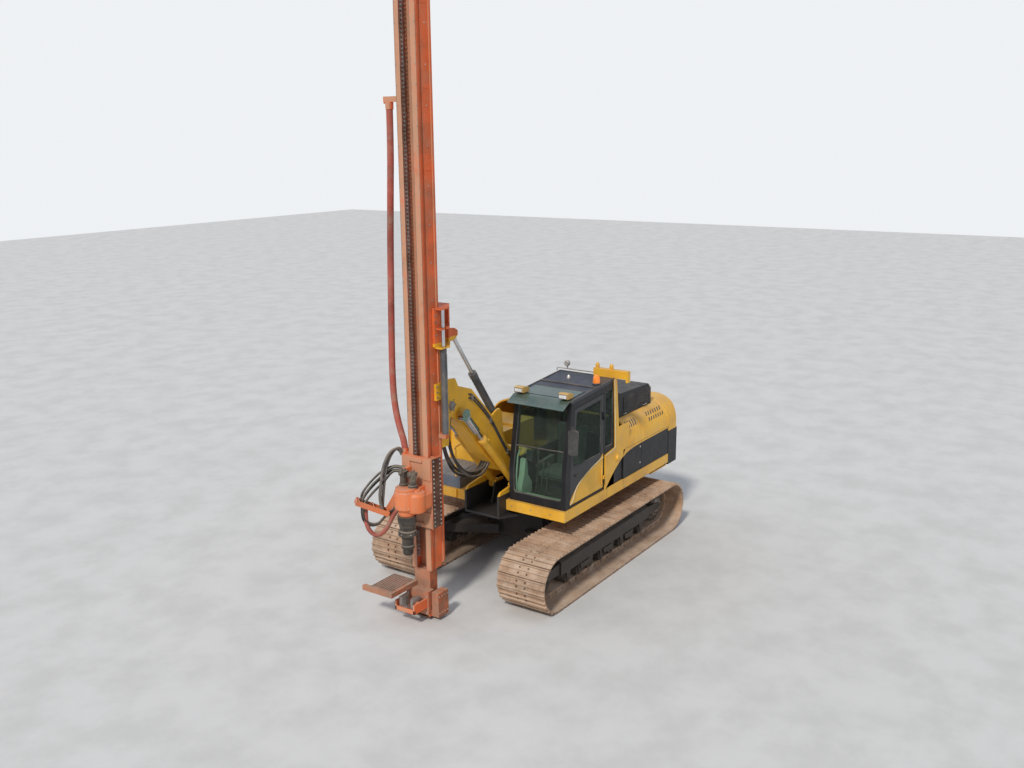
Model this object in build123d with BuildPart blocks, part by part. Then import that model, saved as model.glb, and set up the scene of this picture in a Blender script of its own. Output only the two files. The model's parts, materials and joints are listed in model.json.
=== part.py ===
from build123d import *
from math import cos, hypot, pi, sin, sqrt
import os

os.makedirs("parts", exist_ok=True)

# Crawler carrier with a drilling mast, in mm. X runs forward, Y to the cab side, Z up from the ground.
# Every X below is measured from the slewing axis; the frame's origin lies midway between nose and tail.
tail_radius = 2750
nose_reach = 3600
slew_x = (tail_radius - nose_reach) / 2

# Clearances
seat_gap = 0.3
pin_gap = 0.5
run_gap = 5

# Hinge knuckles
hinge_radius = 12
hinge_pin = 7
hinge_length = 60

# Tracks
tumbler_span = 3650
gauge = 2380
shoe_width = 800
shoe_count = 51
track_radius = 430
grouser_height = 24
shoe_plate = 14
link_height = 100
link_width = 190
track_y = gauge / 2
plate_radius = track_radius - grouser_height - shoe_plate
link_radius = plate_radius - link_height

# Track frame and rollers
frame_width = 300
frame_bottom = 335
frame_top = 600
frame_half = 1380
roller_radius = 80
roller_count = 8
roller_spacing = 330
roller_width = 240
carrier_radius = 58
carrier_x = 650
bracket_thickness = 20
roller_z = track_radius - link_radius + roller_radius + seat_gap
carrier_z = track_radius + link_radius - carrier_radius - seat_gap
sprocket_teeth = 21
sprocket_width = 60
idler_width = 150
hub_radius = 200

# Car body and slewing ring
car_bottom = 430
car_top = 800
pedestal_radius = 640
ring_radius = 620
ring_bore = 500
ring_bottom = 930
ring_top = 1015

# Upper frame
deck_bottom = 1136
deck_top = 1294
deck_front = 1310
deck_half_width = 1352
skirt = 30
deck_plate = 14
base_top = 1075
base_plate = 35
base_half_width = 480
main_plate = 35
main_plate_y = 285
nose_front = 1500
deck_rear = -2075

# Boom and its cylinders
boom_foot = (550, 1750)
boom_half_width = 130
boom_foot_radius = 135
boom_foot_pin = 60
lift_foot = (860, 1345)
lift_eye = (2165, 2800)
lift_y = 215
lift_pin = 45
lift_barrel_radius = 62
lift_barrel_length = 1355
lift_rod_radius = 36
lift_bore_depth = 620
lift_rod_inside = 480
lift_housing = 400
lift_eye_radius = 92
lift_stub = 50
lift_eye_width = 80

# Mast tilt
tilt_pivot = (2380, 2975)
tilt_pin = 50
tilt_foot = (1170, 2580)
tilt_eye = (2150, 3950)
tilt_barrel_radius = 58
tilt_barrel_length = 870
tilt_rod_radius = 32
tilt_bore_depth = 760
tilt_rod_inside = 240
tilt_eye_radius = 62
tilt_eye_width = 80
tilt_foot_width = 130

# Mast
mast_front = 2937
mast_rear = 2629
mast_bottom = 700
toe_top = 820
toe_front = 2704
mast_top = 11300
flange_half = 173.5
flange_thickness = 32
neck_half = 138
neck_depth = 85
box_half = 155
rail_depth = 36
foot_rear = 2775
foot_bottom = 60
rail_half = 172
mast_wall = 12
slot_right = -93
slot_left = 84
chain_width = 42
chain_y = slot_right + seat_gap + chain_width / 2

# Mast slide
slide_x = 2645
slide_y = 250
slide_barrel_radius = 45
slide_rod_radius = 27
slide_barrel_bottom = 2650
slide_barrel_top = 3850
slide_rod_inside = 560
bracket_levels = (3870, 4130, 4400)
shelf = 20
claw_rear_limit = 2755
cheek_inner = 178
cheek_outer = 198

# Drill head
head_bottom = 1360
head_top = 2370
carriage_plate = 40
carriage_half = 262
pad_height = 130
spindle_x = 3220
spindle_bottom = 1030
socket_radius = 45
socket_depth = 140
shaft_radius = 50

# Cab
cab_front_low = 1254
cab_front_high = 1082
cab_rear = -195
cab_right = 345
cab_left = 1330
cab_floor = deck_top + seat_gap
cab_roof_front = 2867
cab_roof_rear = 2960
cab_wall = 40
door_front = 1000
door_rear = 150
door_gap = 6
door_hinge_rows = (1420, 2420)
door_hinge = (door_rear + door_gap, cab_left + 15)

# Engine end
shroud_front = -640
shroud_rear = -2420
shroud_top = 2250
shroud_radius = 420
shroud_wall = 20
shroud_bottom = 1700.3
shroud_sill = 1790
pin_inset = 12
counterweight_top = 1700
lid_front = -700
lid_rear = -1850
lid_right = -300
lid_left = 1110
lid_top = 2600
lid_hinge = (lid_rear - 20, shroud_top + hinge_radius + 2)
lid_hinge_rows = (-200, 820)


def side(y):
    """Upright plane along the machine at y; its local x runs forward from the slewing axis."""
    return Plane(origin=(slew_x, y, 0), x_dir=(1, 0, 0), z_dir=(0, -1, 0))


def level(z):
    """Flat plane at height z."""
    return Plane(origin=(slew_x, 0, z), x_dir=(1, 0, 0), z_dir=(0, 0, 1))


def facing(x):
    """Upright plane across the machine at x; its local x runs to the left."""
    return Plane(origin=(slew_x + x, 0, 0), x_dir=(0, 1, 0), z_dir=(1, 0, 0))


def solid_from(plane, points, amount, mode):
    """Prism on a plane from the corners of its outline."""
    with BuildSketch(plane) as profile:
        with BuildLine():
            Polyline(*points, close=True)
        make_face()
    extrude(profile.sketch, amount=amount, mode=mode)


def plate(points, y_near, y_far, mode=Mode.ADD):
    """Plate with a side-view outline, from y_near to y_far."""
    solid_from(side(y_near), points, y_near - y_far, mode)


def slab(points, z_low, z_high, mode=Mode.ADD):
    """Plate with a plan-view outline, from z_low to z_high."""
    solid_from(level(z_low), points, z_high - z_low, mode)


def bar(points, x_low, x_high, mode=Mode.ADD):
    """Bar along the machine with a front-view outline, from x_low to x_high."""
    solid_from(facing(x_low), points, x_high - x_low, mode)


def round_bar(plane, place, radius, amount, mode=Mode.ADD):
    """Round bar on a plane, centred on a place in it."""
    with BuildSketch(plane) as profile:
        with Locations(place):
            Circle(radius)
    extrude(profile.sketch, amount=amount, mode=mode)


def cross_pin(place, radius, y_near, y_far, mode=Mode.ADD):
    """Round bar across the machine, centred on a side-view place."""
    round_bar(side(y_near), place, radius, y_near - y_far, mode)


def upright(place, radius, z_low, z_high, mode=Mode.ADD):
    """Round bar standing on a plan-view place."""
    round_bar(level(z_low), place, radius, z_high - z_low, mode)


def block(x, y, z, mode=Mode.ADD):
    """Box between the two ends given for each direction."""
    with Locations((slew_x + (x[0] + x[1]) / 2, (y[0] + y[1]) / 2, (z[0] + z[1]) / 2)):
        Box(abs(x[1] - x[0]), abs(y[1] - y[0]), abs(z[1] - z[0]), mode=mode)


def along(foot, eye, y):
    """Plane at a cylinder's foot whose normal points to its eye."""
    run = (eye[0] - foot[0], 0, eye[1] - foot[1])
    return Plane(origin=(slew_x + foot[0], y, foot[1]), x_dir=(0, 1, 0), z_dir=run)


def save(piece, name):
    """Label a finished piece and write it."""
    piece.part.label = name
    export_step(piece.part, f"parts/{name}.step")


def loop_point(distance, height):
    """Point on the track loop, height outside the shoe plates' inner face, in side view."""
    half = tumbler_span / 2
    turn = pi * plate_radius
    total = 2 * tumbler_span + 2 * turn
    distance = distance % total
    reach = plate_radius + height
    if distance < tumbler_span:
        return (half - distance, track_radius - reach)
    distance -= tumbler_span
    if distance < turn:
        angle = distance / plate_radius
        return (-half - reach * sin(angle), track_radius - reach * cos(angle))
    distance -= turn
    if distance < tumbler_span:
        return (-half + distance, track_radius + reach)
    angle = (distance - tumbler_span) / plate_radius
    return (half + reach * sin(angle), track_radius + reach * cos(angle))


def loop_belt(y_near, y_far, height, mode):
    """Smooth loop that stands height outside the shoe plates' inner face."""
    with BuildSketch(side(y_near)) as profile:
        with Locations((0, track_radius)):
            SlotCenterToCenter(tumbler_span, 2 * (plate_radius + height))
    extrude(profile.sketch, amount=y_near - y_far, mode=mode)


# Shoe section along the loop: share of the pitch, height over the plates' inner face
shoe_section = (
    (-0.49, 3), (-0.45, shoe_plate + grouser_height), (-0.39, shoe_plate + grouser_height), (-0.35, shoe_plate),
    (-0.05, shoe_plate), (-0.03, shoe_plate + grouser_height), (0.03, shoe_plate + grouser_height),
    (0.05, shoe_plate), (0.35, shoe_plate), (0.39, shoe_plate + grouser_height),
    (0.45, shoe_plate + grouser_height), (0.49, 3),
)
shoe_pitch = (2 * tumbler_span + 2 * pi * plate_radius) / shoe_count


def track(y):
    """One track: a ring of shoes with raised bars, and the link chain inside it."""
    near = y - shoe_width / 2
    far = y + shoe_width / 2
    shoes = [
        loop_point((number + 0.5 + share) * shoe_pitch, height)
        for number in range(shoe_count)
        for share, height in shoe_section
    ]
    plate(shoes, near, far)
    loop_belt(near, far, 0, Mode.SUBTRACT)
    loop_belt(y - link_width / 2, y + link_width / 2, 0.5, Mode.ADD)
    loop_belt(y - link_width / 2, y + link_width / 2, -link_height, Mode.SUBTRACT)


for name, y in (("track_left", track_y), ("track_right", -track_y)):
    with BuildPart() as loop:
        track(y)
    save(loop, name)

# Track frames: box beam, roller brackets, idler yoke and final drive bracket
yoke_gap = idler_width / 2 + 12
for name, y in (("track_frame_left", track_y), ("track_frame_right", -track_y)):
    with BuildPart() as track_frame:
        bar(
            ((y - frame_width / 2, frame_bottom), (y + frame_width / 2, frame_bottom),
             (y + frame_width / 2, frame_top - 70), (y + 70, frame_top),
             (y - 70, frame_top), (y - frame_width / 2, frame_top - 70)),
            -frame_half, frame_half,
        )
        for end in (-1, 1):
            tip = end * tumbler_span / 2
            for reach in (-1, 1):
                near = y + reach * yoke_gap
                plate(
                    ((end * (frame_half - 60), 350), (tip, 370), (tip + end * 60, 430),
                     (tip, 490), (end * (frame_half - 60), 520)),
                    near, near + reach * 40,
                )
        for number in range(roller_count):
            x = (number - (roller_count - 1) / 2) * roller_spacing
            for reach in (-1, 1):
                near = y + reach * (roller_width / 2 + seat_gap)
                plate(
                    ((x - 60, frame_bottom), (x - 35, roller_z - 35), (x + 35, roller_z - 35),
                     (x + 60, frame_bottom)),
                    near, near + reach * bracket_thickness,
                )
        for x in (-carrier_x, carrier_x):
            near = y - link_width / 2 - seat_gap
            plate(
                ((x - 55, frame_top - 40), (x + 55, frame_top - 40), (x + 35, carrier_z + 30),
                 (x - 35, carrier_z + 30)),
                near, near + 24,
            )
    save(track_frame, name)

# Bottom and carrier rollers of both sides
with BuildPart() as rollers:
    for y in (track_y, -track_y):
        for number in range(roller_count):
            x = (number - (roller_count - 1) / 2) * roller_spacing
            cross_pin((x, roller_z), roller_radius, y - roller_width / 2, y + roller_width / 2)
        for x in (-carrier_x, carrier_x):
            cross_pin((x, carrier_z), carrier_radius, y - link_width / 2 + 24, y + 70)
save(rollers, "rollers")

with BuildPart() as idlers:
    for y in (track_y, -track_y):
        place = (tumbler_span / 2, track_radius)
        cross_pin(place, link_radius - seat_gap, y - idler_width / 2, y + idler_width / 2)
        for reach in (-1, 1):
            near = y + reach * idler_width / 2
            cross_pin(place, link_radius - 60, near, near - reach * 30, mode=Mode.SUBTRACT)
            cross_pin(place, 90, near - reach * 30, near + reach * 11.7)
save(idlers, "idlers")

# Sprockets with their hubs
with BuildPart() as sprockets:
    for y in (track_y, -track_y):
        outward = 1 if y > 0 else -1
        place = (-tumbler_span / 2, track_radius)
        tip = link_radius - seat_gap
        teeth = []
        for tooth in range(sprocket_teeth):
            for share, reach in ((0.0, tip - 34), (0.3, tip - 34), (0.42, tip), (0.66, tip), (0.8, tip - 34)):
                angle = 2 * pi * (tooth + share) / sprocket_teeth
                teeth.append((place[0] + reach * cos(angle), place[1] + reach * sin(angle)))
        plate(teeth, y - sprocket_width / 2, y + sprocket_width / 2)
        cross_pin(place, hub_radius, y - idler_width / 2, y + idler_width / 2)
save(sprockets, "sprockets")

# Car body: crossed legs, pedestal and slewing ring
with BuildPart() as car_body:
    for end in (-1, 1):
        for reach in (-1, 1):
            legs = [(end * x, reach * y) for x, y in (
                (150, 250), (720, 250), (1150, track_y - frame_width / 2),
                (640, track_y - frame_width / 2),
            )]
            slab(legs, car_bottom, car_bottom + 150)
    slab(((-620, -520), (620, -520), (620, 520), (-620, 520)), car_bottom - 60, car_top)
    upright((0, 0), pedestal_radius, car_top - 40, ring_bottom)
    upright((0, 0), ring_bore, car_bottom + 100, ring_bottom, mode=Mode.SUBTRACT)
save(car_body, "car_body")

with BuildPart() as slew_ring:
    upright((0, 0), ring_radius, ring_bottom, ring_top)
    upright((0, 0), ring_bore, ring_bottom, ring_top, mode=Mode.SUBTRACT)
save(slew_ring, "slew_ring")

# Upper frame: base, boom brackets and lift cylinder lugs
with BuildPart() as upper_frame:
    slab(
        ((deck_rear, -base_half_width), (deck_front - 60, -base_half_width), (nose_front, -main_plate_y - main_plate),
         (nose_front, main_plate_y + main_plate), (deck_front - 60, base_half_width), (deck_rear, base_half_width)),
        base_top - base_plate, base_top,
    )
    upright((0, 0), ring_radius, ring_top + seat_gap, base_top)
    upright((0, 0), ring_bore, ring_top + seat_gap, base_top, mode=Mode.SUBTRACT)
    for reach in (-1, 1):
        near = reach * main_plate_y
        plate(
            ((deck_rear, base_top), (deck_rear, 1200), (-700, 1290), (-300, 1400), (370, 1800), (430, 1900),
             (560, 1930), (690, 1890), (740, 1740), (780, 1560), (1150, 1480), (nose_front - 60, 1440),
             (nose_front, 1380), (nose_front, base_top)),
            near, near + reach * main_plate,
        )
        lug = reach * (lift_y - lift_barrel_radius - run_gap)
        plate(
            ((680, base_top), (760, 1425), (960, 1425), (1060, base_top)),
            lug, lug - reach * 32,
        )
        cross_pin(lift_foot, lift_pin, lug, near)
    cross_pin(boom_foot, boom_foot_pin + pin_gap, -500, 500, mode=Mode.SUBTRACT)
save(upper_frame, "upper_frame")

# Deck: yellow skirt and plates on both sides of the upper frame
with BuildPart() as deck:
    for reach in (-1, 1):
        inner = main_plate_y + main_plate + seat_gap
        edge = deck_half_width
        slab(
            ((deck_rear, reach * inner), (deck_front, reach * inner), (deck_front, reach * edge),
             (deck_rear, reach * edge)),
            deck_bottom, deck_top,
        )
        slab(
            ((deck_rear - 1, reach * (inner - 1)), (deck_front - skirt, reach * (inner - 1)),
             (deck_front - skirt, reach * (edge - skirt)), (deck_rear - 1, reach * (edge - skirt))),
            deck_bottom - 1, deck_top - deck_plate, mode=Mode.SUBTRACT,
        )
        slab(
            ((deck_rear, reach * inner), (-1500, reach * inner), (-1500, reach * (edge - skirt)),
             (deck_rear, reach * (edge - skirt))),
            base_top + 5, base_top + 20,
        )
        for x in (-1900, -1250, -600, 50, 700, 1200):
            block((x, x + 60), (reach * inner, reach * (edge - skirt)), (deck_bottom, deck_top - deck_plate))
save(deck, "deck")

# Counterweight with its rounded tail
tail_corner = sqrt(tail_radius ** 2 - deck_half_width ** 2)
with BuildPart() as counterweight:
    with BuildSketch(level(base_top + 25)):
        with BuildLine():
            start = (deck_rear - seat_gap, deck_half_width)
            Line(start, (-tail_corner, deck_half_width))
            ThreePointArc((-tail_corner, deck_half_width), (-tail_radius, 0), (-tail_corner, -deck_half_width))
            Line((-tail_corner, -deck_half_width), (start[0], -deck_half_width))
            Line((start[0], -deck_half_width), start)
        make_face()
    extrude(amount=counterweight_top - base_top - 25)
save(counterweight, "counterweight")

# Engine shroud: barrel-topped cover across the tail with an opening for the lid


def shroud_solid(inset, x_low, mode):
    """Prism of the shroud's front-view section, set in by inset."""
    half = deck_half_width - inset
    top = shroud_top - inset
    radius = shroud_radius - inset
    with BuildSketch(facing(x_low)) as profile:
        with BuildLine():
            Line((-half, shroud_bottom), (-half, top - radius))
            RadiusArc((-half, top - radius), (-half + radius, top), radius)
            Line((-half + radius, top), (half - radius, top))
            RadiusArc((half - radius, top), (half, top - radius), radius)
            Line((half, top - radius), (half, shroud_bottom))
            Line((half, shroud_bottom), (-half, shroud_bottom))
        make_face()
    extrude(profile.sketch, amount=shroud_front - shroud_rear, mode=mode)


with BuildPart() as shroud:
    shroud_solid(0, shroud_rear, Mode.ADD)
    shroud_solid(shroud_wall, shroud_rear + shroud_wall, Mode.SUBTRACT)
    block((deck_rear, shroud_front + 10), (-1400, 1400), (shroud_bottom - 10, shroud_sill), mode=Mode.SUBTRACT)
    with BuildSketch(level(shroud_bottom)):
        Circle(tail_radius - 30)
    extrude(amount=shroud_top, mode=Mode.INTERSECT)
    block((lid_rear - run_gap, lid_front + run_gap), (lid_right - run_gap, lid_left + run_gap),
          (shroud_top - 200, shroud_top + 100), mode=Mode.SUBTRACT)
    for y in lid_hinge_rows:
        block((lid_hinge[0] - hinge_radius, lid_hinge[0] + hinge_radius), (y, y + hinge_length),
              (shroud_top - 1, lid_hinge[1]))
        cross_pin(lid_hinge, hinge_radius, y, y + hinge_length)
        cross_pin(lid_hinge, hinge_pin + seat_gap, y - 1, y + hinge_length + 1, mode=Mode.SUBTRACT)
save(shroud, "engine_shroud")

with BuildPart() as engine_lid:
    plate(
        ((lid_rear, shroud_top - 40), (lid_rear, lid_top - 120), (lid_rear + 100, lid_top - 30),
         (lid_front - 90, lid_top), (lid_front, lid_top - 70), (lid_front, shroud_top - 40)),
        lid_right, lid_left,
    )
    plate(
        ((lid_rear + shroud_wall, shroud_top - 60), (lid_rear + shroud_wall, lid_top - 150),
         (lid_rear + 110, lid_top - 60), (lid_front - 100, lid_top - 30), (lid_front - shroud_wall, lid_top - 90),
         (lid_front - shroud_wall, shroud_top - 60)),
        lid_right + shroud_wall, lid_left - shroud_wall, mode=Mode.SUBTRACT,
    )
    for y in lid_hinge_rows:
        far = y + hinge_length + seat_gap
        cross_pin(lid_hinge, hinge_radius, far, far + hinge_length)
        cross_pin(lid_hinge, hinge_pin, y, far + 1)
        block((lid_hinge[0], lid_rear + 5), (far, far + hinge_length), (lid_hinge[1], lid_hinge[1] + hinge_radius))
save(engine_lid, "engine_lid")

with BuildPart() as engine:
    block((-1900, -1100), (-500, 700), (1330, 2150))
    for x in (-1850, -1250):
        for y in (-240, 140):
            block((x, x + 100), (y, y + 100), (base_top + seat_gap, 1330))
save(engine, "engine")

# Service doors under the shroud: name, rear x, front x, top z, side
door_rows = (
    ("service_door_left_front", -1075, -470, 1690, 1),
    ("service_door_left_rear", -2060, -1085, shroud_sill - door_gap, 1),
    ("service_door_right", -2060, -1085, shroud_sill - door_gap, -1),
)
for name, rear, front, front_top, reach in door_rows:
    with BuildPart() as service_door:
        outer = reach * (deck_half_width - 4)
        plate(
            ((rear, deck_top + door_gap), (front, deck_top + door_gap), (front, front_top),
             (front - 60, shroud_sill - door_gap), (rear, shroud_sill - door_gap)),
            outer, outer - reach * shroud_wall,
        )
        upright((front - pin_inset, outer - reach * shroud_wall / 2), 7, deck_top + seat_gap, front_top - 40)
        upright((front - pin_inset, outer - reach * shroud_wall / 2), 7, front_top - 60,
                shroud_sill - seat_gap if front_top > 1750 else front_top - 30)
    save(service_door, name)

# Side bodywork on the cab side: curved sill, pillar and the panel that joins the shroud
sill_front = door_hinge[0] - 40
with BuildPart() as side_body:
    outer = deck_half_width
    with BuildSketch(side(outer)):
        with BuildLine():
            Polyline((-460, 1680), (-460, 1790), (shroud_front + seat_gap, 1790), (shroud_front + seat_gap, 2200),
                     (-300, 2200), (-215, 3000), (-145, 3000), (-190, 2065), (-190, 1900), (sill_front, 1850),
                     (sill_front, deck_top + 1), (sill_front - 10, deck_top + 1))
            ThreePointArc((sill_front - 10, deck_top + 1), (-200, 1540), (-460, 1680))
        make_face()
    extrude(amount=20)
save(side_body, "side_body")

# Tanks on the right
with BuildPart() as tanks:
    block((-60, 540), (-1345, -440), (deck_top + seat_gap, 1980))
    block((-620, -72), (-1345, -440), (deck_top + seat_gap, 2020))
save(tanks, "tanks")

with BuildPart() as tool_box:
    block((560, 1300), (-1345, -560), (deck_top + seat_gap, 1480))
save(tool_box, "tool_box")

# Cab shell
cab_side = (
    (cab_rear, cab_floor), (cab_front_low, cab_floor), (cab_front_low, cab_floor + 500),
    (cab_front_high, cab_roof_front), (cab_rear, cab_roof_rear),
)
cab_inner = (
    (cab_rear + cab_wall, cab_floor + cab_wall), (cab_front_low - cab_wall, cab_floor + cab_wall),
    (cab_front_low - cab_wall, cab_floor + 500), (cab_front_high - cab_wall, cab_roof_front + 50),
    (cab_rear + cab_wall, cab_roof_rear + 50),
)
with BuildPart() as cab:
    plate(cab_side, cab_right, cab_left)
    plate(cab_inner, cab_right + cab_wall, cab_left - cab_wall, mode=Mode.SUBTRACT)
    # door opening
    plate(((door_rear, 1340), (1130, 1340), (1130, 1800), (door_front, 2780), (door_rear, 2840)),
          cab_left - cab_wall - 5, cab_left + 5, mode=Mode.SUBTRACT)
    # rear quarter and right windows
    plate(((-140, 1960), (90, 1960), (90, 2830), (-140, 2850)),
          cab_left - cab_wall - 5, cab_left + 5, mode=Mode.SUBTRACT)
    plate(((-120, 1900), (1080, 1900), (960, 2770), (-120, 2850)),
          cab_right - 5, cab_right + cab_wall + 5, mode=Mode.SUBTRACT)
    # front and rear windows
    block((1000, 1400), (cab_right + 70, cab_left - 70), (1420, 2780), mode=Mode.SUBTRACT)
    block((cab_rear - 5, cab_rear + cab_wall + 5), (cab_right + 80, cab_left - 80), (2080, 2840),
          mode=Mode.SUBTRACT)
    for z in door_hinge_rows:
        block((door_rear - 6, door_hinge[0] - 2), (cab_left - 1, door_hinge[1]), (z, z + hinge_length))
        upright(door_hinge, hinge_radius, z, z + hinge_length)
        upright(door_hinge, hinge_pin, z, z + 2 * hinge_length)
save(cab, "cab")

with BuildPart() as cab_roof:
    plate(
        ((cab_rear, cab_roof_rear + seat_gap), (cab_front_high, cab_roof_front + seat_gap),
         (cab_front_high + 30, cab_roof_front + 30), (cab_front_high - 60, cab_roof_front + 45),
         (cab_rear, cab_roof_rear + 45)),
        cab_right - 5, cab_left,
    )
save(cab_roof, "cab_roof")

with BuildPart() as cab_door:
    edge = cab_left
    plate(((door_rear + door_gap, 1346), (1124, 1346), (1124, 1800), (door_front - door_gap, 2774),
           (door_rear + door_gap, 2832)), edge - cab_wall, edge)
    plate(((door_rear + 70, 1900), (1040, 1900), (940, 2710), (door_rear + 70, 2760)),
          edge - cab_wall - 5, edge + 5, mode=Mode.SUBTRACT)
    for z in door_hinge_rows:
        low = z + hinge_length + seat_gap
        block((door_hinge[0], door_hinge[0] + 30), (edge - 1, door_hinge[1]), (low, low + hinge_length))
        upright(door_hinge, hinge_radius, low, low + hinge_length)
        upright(door_hinge, hinge_pin + seat_gap, low - 1, low + hinge_length + 1, mode=Mode.SUBTRACT)
save(cab_door, "cab_door")

with BuildPart() as seat:
    block((300, 800), (560, 1080), (1540, 1680))
    plate(((180, 1600), (320, 1600), (240, 2300), (120, 2300)), 560, 1080)
    block((420, 640), (680, 960), (cab_floor + cab_wall + seat_gap, 1540))
save(seat, "seat")

# Boom: bent box from the foot tube to the nose
with BuildPart() as boom:
    with BuildSketch(side(-boom_half_width)):
        with BuildLine():
            Polyline((500, 1875), (800, 1905), (981, 2044), (1414, 2642), (1875, 3109), (2200, 3220),
                     (2440, 3120), (2520, 2990), (2500, 2880), (2330, 2790), (2000, 2540), (1620, 2060),
                     (1200, 1690), (640, 1640), close=True)
        make_face()
    extrude(amount=-2 * boom_half_width)
    cross_pin(boom_foot, boom_foot_radius, -main_plate_y + run_gap, main_plate_y - run_gap)
    cross_pin(boom_foot, boom_foot_pin, -main_plate_y - main_plate - 14, main_plate_y + main_plate + 14)
    cross_pin(tilt_pivot, tilt_pin + pin_gap, -200, 200, mode=Mode.SUBTRACT)
    for reach in (-1, 1):
        cross_pin(lift_eye, lift_stub, reach * (boom_half_width - 10), reach * (lift_y - lift_eye_width / 2 - seat_gap))
        lug = reach * (tilt_foot_width / 2 + run_gap)
        plate(((1030, 2090), (1085, 2590), (1140, 2650), (1215, 2640), (1380, 2560)), lug, lug + reach * 30)
    cross_pin(tilt_foot, 35, -tilt_foot_width / 2 - 20, tilt_foot_width / 2 + 20)
save(boom, "boom")

lift_length = hypot(lift_eye[0] - lift_foot[0], lift_eye[1] - lift_foot[1])
tilt_length = hypot(tilt_eye[0] - tilt_foot[0], tilt_eye[1] - tilt_foot[1])


def barrel(foot, eye, y, radius, length, bore, depth, eye_radius, eye_width, pin):
    """Cylinder barrel from its foot eye to its gland, bored for the rod."""
    axis = along(foot, eye, y)
    round_bar(axis, (0, 0), radius, length)
    round_bar(axis.offset(length - 90), (0, 0), radius + 4.5, 90)
    cross_pin(foot, eye_radius, y - eye_width / 2, y + eye_width / 2)
    round_bar(axis.offset(length - depth), (0, 0), bore, depth + 1, Mode.SUBTRACT)
    cross_pin(foot, pin, y - radius - 10, y + radius + 10, mode=Mode.SUBTRACT)


def rod(foot, eye, y, radius, start, length, eye_radius, eye_width, sleeve, sleeve_radius):
    """Piston rod from inside the barrel to its eye, with a sleeve before the eye."""
    axis = along(foot, eye, y)
    round_bar(axis.offset(start), (0, 0), radius, length - start)
    round_bar(axis.offset(length - sleeve), (0, 0), sleeve_radius, sleeve - eye_radius + 8)
    cross_pin(eye, eye_radius, y - eye_width / 2, y + eye_width / 2)


with BuildPart() as lift_barrels:
    for y in (-lift_y, lift_y):
        barrel(lift_foot, lift_eye, y, lift_barrel_radius - 4.5, lift_barrel_length, lift_rod_radius + seat_gap,
               lift_bore_depth, 80, 110, lift_pin + pin_gap)
save(lift_barrels, "lift_barrels")

with BuildPart() as lift_rods:
    for y in (-lift_y, lift_y):
        rod(lift_foot, lift_eye, y, lift_rod_radius, lift_barrel_length - lift_rod_inside, lift_length,
            lift_eye_radius, lift_eye_width, lift_housing, 58)
save(lift_rods, "lift_rods")

with BuildPart() as tilt_barrel:
    barrel(tilt_foot, tilt_eye, 0, tilt_barrel_radius, tilt_barrel_length, tilt_rod_radius + seat_gap,
           tilt_bore_depth, 62, tilt_foot_width, 35 + pin_gap)
save(tilt_barrel, "tilt_barrel")

with BuildPart() as tilt_rod:
    rod(tilt_foot, tilt_eye, 0, tilt_rod_radius, tilt_barrel_length - tilt_rod_inside, tilt_length,
        tilt_eye_radius, tilt_eye_width, 120, 38)
save(tilt_rod, "tilt_rod")

# Mast carrier: yellow lower plates, spine and the orange guide bracket with its shelves
with BuildPart() as carrier:
    for reach in (-1, 1):
        near = reach * (boom_half_width + run_gap)
        plate(
            ((2230, 3240), (2290, 3350), (2540, 3370), (2618, 3330), (2618, 2430), (2470, 2420),
             (2420, 2800), (2330, 2880), (2270, 2975)),
            near, near + reach * 30,
        )
        cross_pin(tilt_pivot, 118, near, near + reach * 30)
        cross_pin(tilt_pivot, tilt_pin, 0, near + reach * 36)
        for low, high in ((3130, 3360), (bracket_levels[0], bracket_levels[2])):
            near = reach * cheek_inner
            block((2600, claw_rear_limit), (near, reach * cheek_outer), (low, high))
            block((mast_rear + rail_depth + run_gap, claw_rear_limit), (reach * (box_half + run_gap), near), (low, high))
            block((mast_rear, mast_rear + rail_depth - 2), (reach * (rail_half + seat_gap), near), (low, high))
            block((2600, 2618), (reach * boom_half_width, near), (low, high))
        for z in bracket_levels:
            slab(((2300, 0), (2300, reach * 100), (2560, reach * 300), (2740, reach * 300),
                  (2740, reach * cheek_inner), (2618, reach * cheek_inner), (2618, 0)), z - shelf, z)
    block((2590, 2618), (-boom_half_width - 35, boom_half_width + 35), (3400, bracket_levels[2]))
    block((2590, 2618), (-boom_half_width - 35, boom_half_width + 35), (3130, 3400))
    block((2300, 2330), (-100, 100), (bracket_levels[0] - shelf, bracket_levels[2]))
    for reach in (-1, 1):
        lug = reach * (tilt_eye_width / 2 + seat_gap)
        plate(((2310, 3850), (2150, 3870), (2080, 3920), (2080, 3990), (2150, 4030), (2310, 4050)),
              lug, lug + reach * 26)
        upright((slide_x, reach * slide_y), slide_barrel_radius + run_gap + 1, bracket_levels[0] - 60,
                bracket_levels[1] + 10, mode=Mode.SUBTRACT)
save(carrier, "mast_carrier")

with BuildPart() as slide_rods:
    for reach in (-1, 1):
        upright((slide_x, reach * slide_y), slide_rod_radius, slide_barrel_top - slide_rod_inside,
                bracket_levels[2] - shelf)
save(slide_rods, "slide_rods")

with BuildPart() as slide_barrels:
    for reach in (-1, 1):
        place = (slide_x, reach * slide_y)
        upright(place, slide_barrel_radius, slide_barrel_bottom, slide_barrel_top)
        upright(place, slide_rod_radius + seat_gap, slide_barrel_bottom + 60, slide_barrel_top + 1, mode=Mode.SUBTRACT)
save(slide_barrels, "slide_barrels")

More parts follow.
